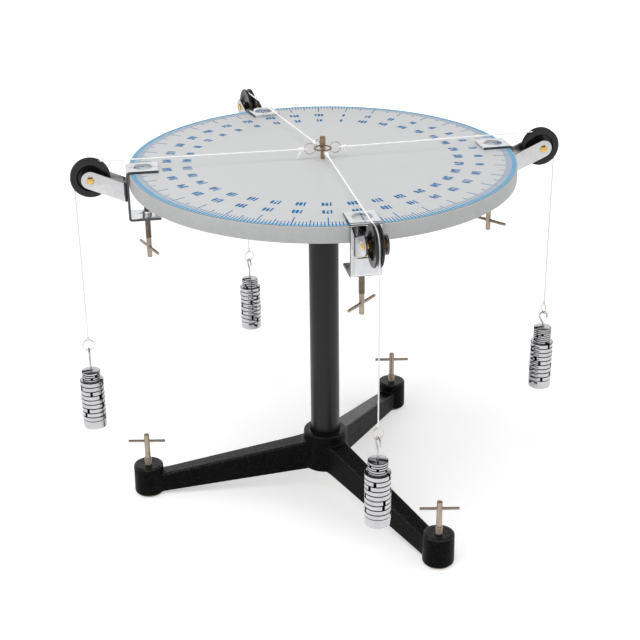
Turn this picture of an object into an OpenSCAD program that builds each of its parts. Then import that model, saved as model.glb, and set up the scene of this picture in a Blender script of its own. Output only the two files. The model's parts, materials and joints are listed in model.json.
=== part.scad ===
// Force table: a graduated disc on a column and a cast tripod, four clamp-on pulleys at its
// rim, and strings from a centre ring over the pulleys to slotted weights on hangers.
// Millimetres, +Z up. The origin is on the column's axis, at the bench.

/* [Table top] */
// Diameter of the table top
table_d = 400; // [360:1:440]
// Height of the table face above the bench
table_h = 387; // [360:1:420]
// Depth of the table top at its rim, with the dial sheet
rim_t = 17; // [14:0.5:20]
// Thickness of the printed dial sheet
dial_t = 0.6; // [0.4:0.1:1]
// Bare margin round the dial sheet
dial_margin = 1; // [0.5:0.5:3]
// Chamfer on the table top's lower edge
rim_chamfer = 1; // [0.5:0.25:2]

/* [Column] */
// Diameter of the column
column_d = 32; // [28:0.5:36]
// Diameter of the bolt that holds the column in the hub
bolt_d = 10; // [8:1:12]
// Length of the bolt's thread inside the column
bolt_grip = 22; // [16:1:30]
// Diameter of the flange under the table top
flange_d = 96; // [84:1:120]
// Thickness of the flange plate
flange_t = 7; // [5:0.5:10]
// Diameter of the flange's collar
collar_d = 48; // [44:0.5:54]
// Length of the flange's collar below its plate
collar_h = 24; // [18:1:32]
// Radius of the flange screws' circle
flange_screw_r = 38; // [34:0.5:41]
// Diameter of the flange screws
flange_screw_d = 4; // [3:0.5:5]

/* [Tripod base] */
// Diameter of the hub at its top
hub_d = 48.5; // [44:0.5:56]
// Draft of the hub, wider at its foot
hub_draft = 4; // [1:0.5:5]
// Height of the hub's underside above the bench
hub_z = 26; // [22:0.5:32]
// Height of the hub
hub_h = 43.5; // [40:0.5:54]
// Thickness of the hub's floor under the column
hub_floor = 9; // [6:0.5:12]
// Angle of the first leg
leg_angle = 52.5; // [30:0.5:90]
// Radius from the column's axis to the feet
foot_r = 201; // [180:1:230]
// Width of a leg at the hub
leg_w_hub = 24; // [18:0.5:28]
// Width of a leg at its foot
leg_w_foot = 18; // [14:0.5:24]
// Depth of a leg at the hub
leg_depth_hub = 36; // [30:0.5:42]
// Depth of a leg at its foot
leg_depth_foot = 21.9; // [15:0.1:24]
// Drop from the hub's top to the top of a leg
leg_below_hub = 7; // [5:0.5:10]
// Drop from a foot boss's top to the top of a leg
leg_below_boss = 12; // [10:0.5:16]
// Rounding of a leg's long edges
leg_round = 2; // [1.5:0.5:6]
// Diameter of a foot boss at its top
boss_d = 33; // [28:0.5:38]
// Draft of a foot boss, wider at its foot
boss_draft = 0.5; // [0.5:0.5:4]
// Height of a foot boss
boss_h = 34; // [30:0.5:38]

/* [Levelling screws] */
// Diameter of a foot disc
foot_d = 28; // [22:0.5:32]
// Thickness of a foot disc
foot_t = 1.8; // [1.6:0.1:3]
// Thread diameter of a levelling screw
level_d = 8; // [7:0.5:10]
// Diameter of the plain end of a levelling screw
level_neck_d = 6; // [5:0.25:6.5]
// Length of thread that stands above the boss
level_thread_up = 8; // [5:0.5:14]
// Length of screw that stands above the boss
level_rise = 37.5; // [30:0.5:46]
// Length of a levelling screw's bar
level_bar_l = 41; // [34:0.5:50]
// Diameter of the bars on all the screws
bar_d = 3.2; // [2.5:0.1:3.6]
// Distance from a levelling screw's top to its bar
level_bar_in = 8.5; // [6:0.5:12]
// Direction of the levelling screws' bars
level_bar_angle = -12.5; // [-90:0.5:90]
// Chamfer on the ends of screws and pins and on the discs that they stand on
edge_chamfer = 0.4; // [0.2:0.05:0.6]

/* [Stations] */
// Direction of the first pulley
station_1 = 0; // [-5:0.5:5]
// Direction of the second pulley
station_2 = 98.75; // [90:0.25:106]
// Direction of the third pulley
station_3 = 176.5; // [172:0.5:186]
// Direction of the fourth pulley
station_4 = 268.25; // [262:0.25:277]

/* [Clamp brackets] */
// Width of a clamp bracket
bracket_w = 30; // [26:0.5:36]
// Overall height of a clamp bracket
bracket_h = 53; // [48:0.5:60]
// Reach of a clamp bracket over the table
bracket_reach = 33; // [30:0.5:38]
// Thickness of the bracket's plate
bracket_t = 2.5; // [2:0.1:3]
// Bend radius inside the bracket's corners
bend_r = 1; // [0.5:0.25:2]
// Diameter of the sight window over the dial
window_d = 19; // [15:0.5:22]
// Diameter of the threaded boss under the screw
nut_d = 10; // [9:0.5:12]
// Height of the threaded boss
nut_h = 4; // [3:0.5:6]

/* [Clamp screws] */
// Distance from the bracket's outer face to the clamp screw
clamp_in = 19; // [17:0.5:22]
// Thread diameter of a clamp screw
clamp_d = 6; // [5:0.5:7]
// Diameter of the plain end of a clamp screw
clamp_neck_d = 5; // [4.5:0.25:6]
// Length of screw below the bracket
clamp_below = 45; // [38:0.5:52]
// Length of thread that shows below the bracket
clamp_thread_below = 24; // [18:0.5:28]
// Distance from a clamp screw's end to its bar
clamp_bar_in = 11; // [8:0.5:13]
// Length of a clamp screw's bar
clamp_bar_l = 45; // [36:0.5:50]
// Diameter of a pressure pad
pad_d = 10; // [9:0.5:14]
// Thickness of a pressure pad
pad_t = 3.2; // [3:0.1:4]

/* [Pulleys] */
// Diameter of a pulley wheel
wheel_d = 40.4; // [37:0.2:44]
// Width of a pulley wheel at its rim
wheel_w = 8.4; // [7.6:0.2:10]
// Rounding of the wheel's two flanges
flange_tip_r = 1.2; // [0.9:0.1:1.4]
// Radius from the axle to the string's centre line
string_r = 16.4; // [15:0.05:17]
// Inner radius of the wheel's rim
rim_in_r = 12.6; // [11.5:0.1:13]
// Width of the wheel's web
web_w = 4; // [3:0.2:5.4]
// Diameter of the wheel's hub
wheel_hub_d = 10; // [8.6:0.2:12]
// Length of the wheel's hub
wheel_hub_l = 10.4; // [10.2:0.2:12]
// Diameter of the axle
axle_d = 4; // [3.5:0.1:5]
// Diameter of the axle's heads
head_d = 8.2; // [7:0.2:10]
// Height of the axle's heads
head_h = 2.2; // [1.6:0.1:3]
// Diameter of the spacers beside the wheel
spacer_d = 6; // [5.6:0.2:7.4]
// Distance from the bracket's outer face to the axle
axle_out = 35.7; // [32:0.1:40]
// Depth of the axle below the table face
axle_drop = 5.2; // [4:0.05:6.5]
// Outside width of a pulley fork
fork_w = 22; // [20:0.5:26]
// Thickness of a fork's plate
fork_t = 2; // [1.5:0.1:2.4]
// Half width of a fork's arms
arm_r = 9.2; // [8:0.1:10]
// Rise of a fork's arms from the bracket to the axle
arm_rise = 15.55; // [13:0.05:18]
// Diameter of the rivets that hold a fork
rivet_d = 3.2; // [2.6:0.1:4]
// Spacing of the rivets
rivet_gap = 12; // [10:0.5:13]

/* [Rings and strings] */
// Diameter of the strings
string_d = 1; // [0.8:0.05:1.2]
// Mean radius of the centre ring
centre_r = 8.9; // [8.5:0.1:10]
// Wire of the centre ring
centre_wire = 1.4; // [1.1:0.1:1.6]
// Mean radius of the link rings on the centre ring
link_r = 5.7; // [5:0.1:6.4]
// Mean radius of the rings at the strings' ends
end_r = 6; // [5.6:0.1:7]
// Wire of the link rings and end rings
ring_wire = 1.1; // [0.9:0.05:1.2]
// Height of the centre pin above the table face
pin_up = 24; // [20:0.5:30]
// Diameter of the centre pin's upper part
pin_d = 6; // [5.4:0.2:7]
// Diameter of the centre pin's lower part
pin_low_d = 4.6; // [4:0.2:5.2]
// Height of the centre pin's shoulder above the table face
pin_step = 12.5; // [10:0.5:15]
// Depth of the centre pin in the table top
pin_in = 14; // [10:0.5:14]

/* [Hangers and weights] */
// Drop from the table face to the top of the first string's end ring
drop_1 = 191; // [170:1:196]
// Drop to the top of the second string's end ring
drop_2 = 196; // [170:1:198]
// Drop to the top of the third string's end ring
drop_3 = 185; // [170:1:196]
// Drop to the top of the fourth string's end ring
drop_4 = 179; // [160:1:196]
// Diameter of a hanger's base and of the large weights
large_d = 25.4; // [22:0.2:28]
// Diameter of the small weights
small_d = 19.6; // [16:0.2:21]
// Thickness of a hanger's base
base_t = 9.5; // [8:0.5:12]
// Thickness of a large weight
weight_t = 5.1; // [4.5:0.05:5.2]
// Thickness of a small weight
small_t = 2.5; // [2:0.05:2.6]
// Number of large weights on each hanger
large_count = 9; // [6:1:9]
// Number of small weights on the first hanger
small_count_1 = 7; // [2:1:7]
// Number of small weights on the fourth hanger
small_count_4 = 5; // [2:1:7]
// Number of small weights on the other hangers
small_count = 4; // [2:1:7]
// Height of a hanger from its base to the crown of its hook
hanger_h = 92; // [90:0.5:98]
// Diameter of a hanger's wire
hanger_wire = 2.2; // [1.8:0.1:2.4]
// Mean radius of a hanger's hook
hook_r = 4.6; // [4:0.1:5]
// Lean of the slanted length between a hook and its stem
hook_lean = 32; // [30:1:40]
// Width of the slot in each weight
slot_w = 2.9; // [2.7:0.1:3.6]
// Chamfer on the edges of the bases and weights
weight_chamfer = 0.7; // [0.2:0.05:0.8]

/* [Clearances] */
// Running gap round pins, axles and threads
run_gap = 0.05; // [0.03:0.01:0.08]
// Gap round pieces that are fitted and stay put
fit_gap = 0.05; // [0.03:0.01:0.1]
// Gap between a bracket's plate and the table's rim
rim_gap = 0.3; // [0.2:0.05:0.6]
// Gap between a bracket and the dial sheet
seat_gap = 0.1; // [0.05:0.05:0.3]
// Gap between a pressure pad and the table top
pad_gap = 0.2; // [0.1:0.05:0.4]
// Gap between faces that turn on each other
face_gap = 0.1; // [0.05:0.05:0.2]
// Gap between a foot disc and its boss
foot_gap = 0.2; // [0.2:0.05:0.5]
// Gap between rings that hang on each other
link_gap = 0.08; // [0.05:0.01:0.15]
// Gap between a string and what it lies on or is tied to
string_gap = 0.1; // [0.05:0.05:0.2]
// Gap between weights in a stack
stack_gap = 0.05; // [0.03:0.01:0.1]

/* [Hidden] */
$fn = 48;
// A cut runs this far past the face that it opens
past = 1;

STATIONS = 4;
LEGS = 3;
station_angles = [station_1, station_2, station_3, station_4];
ring_drops = [drop_1, drop_2, drop_3, drop_4];
small_counts = [small_count_1, small_count, small_count, small_count_4];
// Turn of each clamp screw's bar, end ring and set of slots, seen from its own station
clamp_bar_turns = [-55, 30, -69, -46];
end_ring_turns = [270, 97, 4, 284];
slot_turns = [-102, 160, 81, -12];
slot_spread = 75;
slot_step = 138;

// Heights of the stand, from the bench up
boss_z = foot_t + foot_gap;
boss_top = boss_z + boss_h;
hub_top = hub_z + hub_h;
// A leg ends no lower than its boss
leg_end_depth = min(leg_depth_foot, boss_h - leg_below_boss - 2 * fit_gap);
socket_z = hub_z + hub_floor;
rim_z = table_h - rim_t;
plate_top = table_h - dial_t;
column_top = rim_z - fit_gap;
level_top = boss_top + level_rise;
level_tip = 0.55 * foot_t;
clamp_tip = 0.55 * pad_t;
washer_t = 2;
washer_d = 2.2 * bolt_d;
bolt_head_t = 0.64 * bolt_d;
bolt_head_d = 1.85 * bolt_d;
spot_face_d = 1.2 * washer_d;

// Clamp bracket and fork, as radius from the column's axis and height
plate_in_r = table_d / 2 + rim_gap;
plate_out_r = plate_in_r + bracket_t;
bracket_end_r = plate_out_r - bracket_reach;
bracket_top = table_h + seat_gap + bracket_t;
bracket_z = bracket_top - bracket_h;
window_r = (bracket_end_r + plate_in_r) / 2;
clamp_r = plate_out_r - clamp_in;
pad_top = rim_z - pad_gap;
pad_z = pad_top - pad_t;
clamp_end = bracket_z - clamp_below;
axle_r = plate_out_r + axle_out;
axle_z = table_h - axle_drop;
arm_slope = atan2(arm_rise, axle_out);
arm_foot_z = axle_z - arm_rise;
arm_foot_half = arm_r / cos(arm_slope);
arm_in = fork_w / 2 - fork_t;
spacer_l = arm_in - wheel_hub_l / 2 - face_gap - fit_gap;

// Strings, rings and hangers
string_z = axle_z + string_r;
fall_r = axle_r + string_r;
groove_r = string_r - string_d / 2 - string_gap;
link_in_r = centre_r - centre_wire / 2 - link_gap - ring_wire / 2;
link_c_r = link_in_r + link_r;
string_start_r = link_c_r + link_r + ring_wire / 2 + string_gap;
stack_step = weight_t + stack_gap;
small_step = small_t + stack_gap;
hook_z = hanger_h - hook_r;
hook_end = -25;
// The slanted length touches the hook's circle and meets the stem on its axis
slant_l = hook_r / tan(hook_lean);
stem_top = hook_z - hook_r * sin(hook_lean) - slant_l * cos(hook_lean);
// The wire swells a little where it is bent
bend_d = 1.08 * hanger_wire;

function ring_top(i) = table_h - ring_drops[i];
function ring_centre(i) = ring_top(i) - end_r - ring_wire / 2;
// The hook's crown rests on the lower wire of the end ring
function hanger_z(i) =
    ring_centre(i) - end_r + (ring_wire + hanger_wire) / 2 + link_gap - hanger_h;

module at_leg(k) rotate([0, 0, leg_angle + k * 360 / LEGS]) translate([foot_r, 0, 0]) children();
module at_station(i) rotate([0, 0, station_angles[i]]) children();
module at_hanger(i) at_station(i) translate([fall_r, 0, 0]) children();
// Turns a shape drawn as radius and height to stand in its station's radial plane
module in_radial_plane() rotate([90, 0, 0]) children();
// Puts a shape that is turned about Z on the pulley's axle
module on_axle() translate([axle_r, 0, axle_z]) rotate([90, 0, 0]) children();

module torus(mean_r, wire) rotate_extrude() translate([mean_r, 0]) circle(d = wire);

module edged_disc(d, h, chamfer) rotate_extrude()
    polygon([[0, 0], [d / 2 - chamfer, 0], [d / 2, chamfer], [d / 2, h - chamfer],
             [d / 2 - chamfer, h], [0, h]]);

module rounded_square(low, high, r) {
    translate(low + [r, 0]) square(high - low - [2 * r, 0]);
    translate(low + [0, r]) square(high - low - [0, 2 * r]);
    for (x = [low.x + r, high.x - r], y = [low.y + r, high.y - r]) translate([x, y]) circle(r);
}

// A domed rivet head that stands on z = 0
module domed_head(d, h) {
    dome_r = (d * d / 4 + h * h) / (2 * h);
    intersection() {
        cylinder(d = d, h = h);
        translate([0, 0, h - dome_r]) sphere(dome_r);
    }
}

// A hexagonal bolt head that stands on z = 0
module hex_head(d, h) cylinder(d = d, h = h, $fn = 6);

module tommy_bar(length) rotate([0, 90, 0]) cylinder(d = bar_d, h = length, center = true);

module bar_hole(d) rotate([0, 90, 0]) cylinder(d = bar_d + 2 * fit_gap, h = d + 2 * past, center = true);

// The four rounded long edges of a leg, where it crosses radius r
module leg_section(r, w, top, depth) translate([r, 0, 0]) rotate([90, 0, 90])
    for (y = [-1, 1], z = [top - leg_round, top - depth + leg_round])
        translate([y * (w / 2 - leg_round), z, 0]) cylinder(r = leg_round, h = fit_gap, $fn = 20);

module leg() hull() {
    leg_section(0, leg_w_hub, hub_top - leg_below_hub, leg_depth_hub);
    leg_section(foot_r - boss_d / 4, leg_w_foot, boss_top - leg_below_boss, leg_end_depth);
}

module tripod_base() color("#161618") difference() {
    union() {
        translate([0, 0, hub_z]) cylinder(d1 = hub_d + hub_draft, d2 = hub_d, h = hub_h);
        for (k = [0:LEGS - 1]) {
            rotate([0, 0, leg_angle + k * 360 / LEGS]) leg();
            at_leg(k) translate([0, 0, boss_z])
                cylinder(d1 = boss_d + boss_draft, d2 = boss_d, h = boss_h);
        }
    }
    translate([0, 0, socket_z]) cylinder(d = column_d + 2 * fit_gap, h = hub_top - socket_z + past);
    translate([0, 0, hub_z - past]) cylinder(d = bolt_d + 2 * fit_gap, h = hub_floor + 2 * past);
    cylinder(d = spot_face_d, h = hub_z);
    for (k = [0:LEGS - 1]) at_leg(k) translate([0, 0, boss_z - past])
        cylinder(d = level_d + 2 * run_gap, h = boss_h + 2 * past);
}

module column() color("#242426") difference() {
    translate([0, 0, socket_z]) cylinder(d = column_d, h = column_top - socket_z);
    translate([0, 0, socket_z - past]) cylinder(d = bolt_d + 2 * fit_gap, h = bolt_grip + 2 * past);
}

// The bolt and its washer, under the hub
module column_bolt() color("#9a948c") {
    translate([0, 0, hub_z - washer_t]) difference() {
        cylinder(d = washer_d, h = washer_t);
        translate([0, 0, -past]) cylinder(d = bolt_d + 2 * fit_gap, h = washer_t + 2 * past);
    }
    translate([0, 0, hub_z - washer_t - bolt_head_t - fit_gap]) {
        hex_head(bolt_head_d, bolt_head_t);
        cylinder(d = bolt_d, h = bolt_head_t + washer_t + hub_floor + bolt_grip);
    }
}

module at_flange_screws() for (k = [0:2]) rotate([0, 0, leg_angle + k * 120])
    translate([flange_screw_r, 0, rim_z - flange_t]) children();

module top_flange() color("#1c1c1e") difference() {
    union() {
        translate([0, 0, rim_z - flange_t]) edged_disc(flange_d, flange_t, rim_chamfer);
        translate([0, 0, rim_z - flange_t - collar_h]) cylinder(d = collar_d, h = collar_h + past);
    }
    translate([0, 0, rim_z - flange_t - collar_h - past])
        cylinder(d = column_d + 2 * fit_gap, h = flange_t + collar_h + 2 * past);
    at_flange_screws() translate([0, 0, -past])
        cylinder(d = flange_screw_d + 2 * fit_gap, h = flange_t + 2 * past);
    translate([0, 0, rim_z - flange_t - collar_h / 2]) rotate([0, 90, 0])
        cylinder(d = flange_screw_d + 2 * fit_gap, h = collar_d);
}

// Three screws up into the table top, and the grub screw that grips the column
module flange_screws() color("#a39a8e") {
    at_flange_screws() {
        translate([0, 0, -fit_gap]) rotate([180, 0, 0]) domed_head(1.9 * flange_screw_d, 0.6 * flange_screw_d);
        translate([0, 0, -fit_gap]) cylinder(d = flange_screw_d, h = flange_t + rim_t / 2);
    }
    translate([0, 0, rim_z - flange_t - collar_h / 2]) rotate([0, 90, 0])
        translate([0, 0, column_d / 2 + fit_gap])
            cylinder(d = flange_screw_d, h = (collar_d - column_d) / 2);
}

module table_top() color("#b9babb") difference() {
    translate([0, 0, rim_z]) rotate_extrude($fn = 180)
        polygon([[0, 0], [table_d / 2 - rim_chamfer, 0], [table_d / 2, rim_chamfer],
                 [table_d / 2, rim_t - dial_t], [0, rim_t - dial_t]]);
    translate([0, 0, table_h - pin_in]) cylinder(d = pin_low_d + 2 * run_gap, h = pin_in + past);
    at_flange_screws() cylinder(d = flange_screw_d + 2 * fit_gap, h = flange_t + rim_t / 2 + fit_gap);
}

module dial_face() color("#cfd0d1") difference() {
    translate([0, 0, plate_top]) cylinder(d = table_d - 2 * dial_margin, h = dial_t, $fn = 180);
    translate([0, 0, plate_top - past]) cylinder(d = pin_low_d + 2 * run_gap, h = dial_t + 2 * past);
}

module centre_pin() color("#8d7a66") {
    translate([0, 0, table_h - pin_in + face_gap]) cylinder(d = pin_low_d, h = pin_in + pin_step);
    translate([0, 0, table_h + pin_step]) edged_disc(pin_d, pin_up - pin_step, edge_chamfer);
}

module centre_ring() color("#5a5148") translate([0, 0, string_z]) torus(centre_r, centre_wire);

module level_foot(k) color("#b5aa9c") at_leg(k) difference() {
    edged_disc(foot_d, foot_t, edge_chamfer);
    translate([0, 0, foot_t - level_tip]) cylinder(d = level_neck_d + 2 * run_gap, h = level_tip + past);
}

module level_screw(k) color("#b0a496") at_leg(k) {
    difference() {
        union() {
            translate([0, 0, foot_t - level_tip + face_gap]) cylinder(d = level_neck_d, h = level_tip);
            translate([0, 0, foot_t + face_gap])
                cylinder(d = level_d, h = boss_top + level_thread_up - foot_t - face_gap);
            translate([0, 0, boss_top]) edged_disc(level_neck_d, level_rise, edge_chamfer);
        }
        at_level_bar(k) bar_hole(level_d);
    }
    at_level_bar(k) tommy_bar(level_bar_l);
}

module at_level_bar(k) translate([0, 0, level_top - level_bar_in])
    rotate([0, 0, level_bar_angle - leg_angle - k * 360 / LEGS]) children();

// The C-shaped plate, its sight window and its threaded boss
module clamp_bracket(i) color("#c9cacc") at_station(i) difference() {
    union() {
        in_radial_plane() linear_extrude(bracket_w, center = true) difference() {
            rounded_square([bracket_end_r - bracket_reach, bracket_z], [plate_out_r, bracket_top], bend_r + bracket_t);
            rounded_square([bracket_end_r - 2 * bracket_reach, bracket_z + bracket_t],
                           [plate_in_r, bracket_top - bracket_t], bend_r);
            translate([bracket_end_r - 2 * bracket_reach, bracket_z - past])
                square([2 * bracket_reach, bracket_h + 2 * past]);
        }
        translate([clamp_r, 0, bracket_z + bracket_t / 2]) cylinder(d = nut_d, h = nut_h + bracket_t / 2);
    }
    translate([window_r, 0, bracket_top - bracket_t - past]) cylinder(d = window_d, h = bracket_t + 2 * past);
    translate([clamp_r, 0, bracket_z - past])
        cylinder(d = clamp_d + 2 * run_gap, h = bracket_t + nut_h + 2 * past);
    at_rivets() translate([0, 0, -bracket_t - past]) cylinder(d = rivet_d + 2 * fit_gap, h = bracket_t + 2 * past);
}

// Places on the bracket's outer face, with Z pointing away from the table
module at_rivets() for (side = [-1, 1])
    translate([plate_out_r, 0, arm_foot_z + side * rivet_gap / 2]) rotate([0, 90, 0]) children();

module arm_profile() {
    normal = arm_r * [-sin(arm_slope), cos(arm_slope)];
    axle = [axle_r, axle_z];
    translate(axle) circle(arm_r);
    polygon([[plate_out_r + fit_gap, arm_foot_z + arm_foot_half],
             [plate_out_r + fit_gap, arm_foot_z - arm_foot_half], axle - normal, axle + normal]);
}

module pulley_fork(i) color("#bfc0c2") at_station(i) difference() {
    union() {
        for (side = [-1, 1]) translate([0, side * (fork_w - fork_t) / 2, 0])
            in_radial_plane() linear_extrude(fork_t, center = true) arm_profile();
        translate([plate_out_r + fit_gap, -fork_w / 2, arm_foot_z - arm_foot_half])
            cube([fork_t, fork_w, 2 * arm_foot_half]);
    }
    on_axle() cylinder(d = axle_d + 2 * fit_gap, h = fork_w + 2 * past, center = true);
    at_rivets() cylinder(d = rivet_d + 2 * fit_gap, h = fork_t + fit_gap + past);
}

module fork_rivets(i) color("#c9a24a") at_station(i) at_rivets() {
    translate([0, 0, -bracket_t]) cylinder(d = rivet_d, h = bracket_t + fork_t + 3 * fit_gap);
    translate([0, 0, fork_t + 2 * fit_gap]) domed_head(1.8 * rivet_d, 0.5 * rivet_d);
}

// The axle with one head, the other head, and a spacer on each side of the wheel
module axle(i) color("#c9a24a") at_station(i) on_axle() {
    half = fork_w / 2 + fit_gap;
    cylinder(d = axle_d, h = 2 * half, center = true);
    translate([0, 0, half]) domed_head(head_d, head_h);
    rotate([180, 0, 0]) translate([0, 0, half + fit_gap]) domed_head(head_d, head_h);
    for (side = [0, 180]) rotate([side, 0, 0])
        translate([0, 0, wheel_hub_l / 2 + face_gap]) difference() {
            cylinder(d = spacer_d, h = spacer_l);
            translate([0, 0, -past]) cylinder(d = axle_d + 2 * fit_gap, h = spacer_l + 2 * past);
        }
}

// Half of a section through the wheel: radius along X, width along Y
module wheel_section() {
    wheel_r = wheel_d / 2;
    tip_y = wheel_w / 2 - flange_tip_r;
    groove_half = string_d / 2 + string_gap;
    bore_r = axle_d / 2 + run_gap;
    difference() {
        union() {
            translate([rim_in_r, -wheel_w / 2]) square([wheel_r - flange_tip_r - rim_in_r, wheel_w]);
            translate([rim_in_r, -tip_y]) square([wheel_r - rim_in_r, 2 * tip_y]);
            for (y = [-tip_y, tip_y]) translate([wheel_r - flange_tip_r, y]) circle(flange_tip_r);
        }
        polygon([[groove_r, -groove_half], [groove_r, groove_half],
                 [wheel_r, tip_y], [wheel_r + past, tip_y],
                 [wheel_r + past, -tip_y], [wheel_r, -tip_y]]);
    }
    translate([bore_r, -web_w / 2]) square([rim_in_r + past / 2 - bore_r, web_w]);
    translate([bore_r, -wheel_hub_l / 2]) square([wheel_hub_d / 2 - bore_r, wheel_hub_l]);
}

module pulley_wheel(i) color("#1a1a1b") at_station(i) on_axle() rotate_extrude() wheel_section();

module pressure_pad(i) color("#a39a8e") at_station(i) translate([clamp_r, 0, pad_z]) difference() {
    edged_disc(pad_d, pad_t, edge_chamfer);
    translate([0, 0, -past]) cylinder(d = clamp_neck_d + 2 * run_gap, h = clamp_tip + past);
}

module clamp_screw(i) color("#a89a8a") at_station(i) translate([clamp_r, 0, clamp_end]) {
    thread_z = clamp_below - clamp_thread_below;
    top = pad_z - clamp_end - face_gap;
    difference() {
        union() {
            edged_disc(clamp_neck_d, thread_z + past, edge_chamfer);
            translate([0, 0, thread_z]) cylinder(d = clamp_d, h = top - thread_z);
            translate([0, 0, top - past]) cylinder(d = clamp_neck_d, h = clamp_tip + past);
        }
        at_clamp_bar(i) bar_hole(clamp_d);
    }
    at_clamp_bar(i) tommy_bar(clamp_bar_l);
}

module at_clamp_bar(i) translate([0, 0, clamp_bar_in]) rotate([0, 0, clamp_bar_turns[i]]) children();

// Level from the link ring, a quarter turn over the pulley, then straight down
module string(i) color("#f4f4f2") at_station(i) {
    translate([string_start_r, 0, string_z]) rotate([0, 90, 0])
        cylinder(d = string_d, h = axle_r - string_start_r);
    translate([axle_r, 0, axle_z]) in_radial_plane()
        rotate_extrude(angle = 90) translate([string_r, 0]) circle(d = string_d);
    translate([fall_r, 0, ring_top(i) + string_gap])
        cylinder(d = string_d, h = axle_z - ring_top(i) - string_gap);
}

module string_rings(i) color("#9a9184") {
    at_station(i) translate([link_c_r, 0, string_z]) in_radial_plane() torus(link_r, ring_wire);
    at_hanger(i) translate([0, 0, ring_centre(i)]) rotate([0, 0, end_ring_turns[i]])
        in_radial_plane() torus(end_r, ring_wire);
}

module weight_hanger(i) color("#c4c5c8") at_hanger(i) translate([0, 0, hanger_z(i)])
    rotate([0, 0, end_ring_turns[i] + 90]) {
        edged_disc(large_d, base_t, weight_chamfer);
        translate([0, 0, base_t - past]) cylinder(d = hanger_wire, h = stem_top - base_t + past);
        hook();
    }

// The wire above the stem, in the X and Z plane: a slanted length and the open hook
module hook() {
    slant_end = [-hook_r * cos(hook_lean), 0, hook_z - hook_r * sin(hook_lean)];
    for (bend = [[0, 0, stem_top], slant_end]) translate(bend) sphere(d = bend_d);
    translate([0, 0, stem_top]) rotate([0, -hook_lean, 0]) cylinder(d = hanger_wire, h = slant_l);
    translate([0, 0, hook_z]) in_radial_plane() rotate([0, 0, hook_end])
        rotate_extrude(angle = 180 + hook_lean - hook_end) translate([hook_r, 0]) circle(d = hanger_wire);
}

// A stack of weights; each one's slot is turned from the one below
module slotted_weights(i) color("#c8c9cc") at_hanger(i)
    translate([0, 0, hanger_z(i) + base_t + stack_gap])
        for (k = [0:large_count + small_counts[i] - 1]) {
            large = k < large_count;
            low = large ? k * stack_step : large_count * stack_step + (k - large_count) * small_step;
            translate([0, 0, low])
                rotate([0, 0, slot_turns[i] + slot_spread * sin(k * slot_step + i * slot_step / STATIONS)])
                    slotted_weight(large ? large_d : small_d, large ? weight_t : small_t);
        }

module slotted_weight(d, t) difference() {
    edged_disc(d, t, weight_chamfer);
    translate([0, 0, -past]) cylinder(d = slot_w, h = t + 2 * past);
    translate([0, -slot_w / 2, -past]) cube([d, slot_w, t + 2 * past]);
}

tripod_base();
column();
column_bolt();
top_flange();
flange_screws();
table_top();
dial_face();
centre_pin();
centre_ring();
for (k = [1:LEGS]) {
    level_foot(k - 1);
    level_screw(k - 1);
}
for (i = [1:STATIONS]) {
    clamp_bracket(i - 1);
    pulley_fork(i - 1);
    fork_rivets(i - 1);
    axle(i - 1);
    pulley_wheel(i - 1);
    pressure_pad(i - 1);
    clamp_screw(i - 1);
    string(i - 1);
    string_rings(i - 1);
    weight_hanger(i - 1);
    slotted_weights(i - 1);
}
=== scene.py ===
"""Looks of the force table: smooth pieces, finishes and a studio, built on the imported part.

Every length in the classes below is in millimetres. Pieces are worked out in the part's own frame,
+Z up with its origin on the column's axis at the bench, and go to Blender in metres.
"""

import json
import logging
import math
from collections.abc import Callable, Iterator
from contextlib import contextmanager
from dataclasses import dataclass, field
from enum import Enum
from functools import cache
from typing import Any, NamedTuple

import bmesh
import bpy
import numpy as np
from mathutils import Matrix


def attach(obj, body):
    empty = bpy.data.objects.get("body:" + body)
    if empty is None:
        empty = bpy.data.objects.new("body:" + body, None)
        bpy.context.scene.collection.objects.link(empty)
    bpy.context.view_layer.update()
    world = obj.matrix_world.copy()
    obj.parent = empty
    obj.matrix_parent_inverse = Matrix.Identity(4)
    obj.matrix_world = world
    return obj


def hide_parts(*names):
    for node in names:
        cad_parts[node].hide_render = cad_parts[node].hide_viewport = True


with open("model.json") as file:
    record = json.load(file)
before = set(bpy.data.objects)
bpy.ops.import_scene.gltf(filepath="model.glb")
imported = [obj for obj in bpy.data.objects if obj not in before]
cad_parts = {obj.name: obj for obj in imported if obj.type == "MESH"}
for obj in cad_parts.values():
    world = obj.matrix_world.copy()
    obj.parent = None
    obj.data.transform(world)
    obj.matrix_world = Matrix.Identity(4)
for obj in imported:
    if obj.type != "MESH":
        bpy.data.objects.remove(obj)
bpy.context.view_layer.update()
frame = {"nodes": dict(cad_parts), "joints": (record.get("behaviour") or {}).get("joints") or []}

Array = np.ndarray
Socket = bpy.types.NodeSocket
MM = 0.001
X, Y, UP = np.eye(3)
# Distances within which points are joined: in a piece, in metres, and in a flat blank, in millimetres
WELD = 1e-6
BLANK_WELD = 1e-5
SHARP_ANGLE = math.radians(38)
# Steps on a plate's rounded edge, and along a thread's pitch
BEVEL_STEPS = 2
THREAD_STEPS = 9
# How steep a thread's flanks are, and how much of its wave is cut off at the root
THREAD_STEEP = 1.5
THREAD_ROOT = 0.15
# Least squared radius at a wire's domed end, and how deep print reaches into its sheet
DOME_TIP = 0.0004
INK_SUNK = 0.01
log = logging.getLogger("force_table")


# Shapes as arrays


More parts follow.
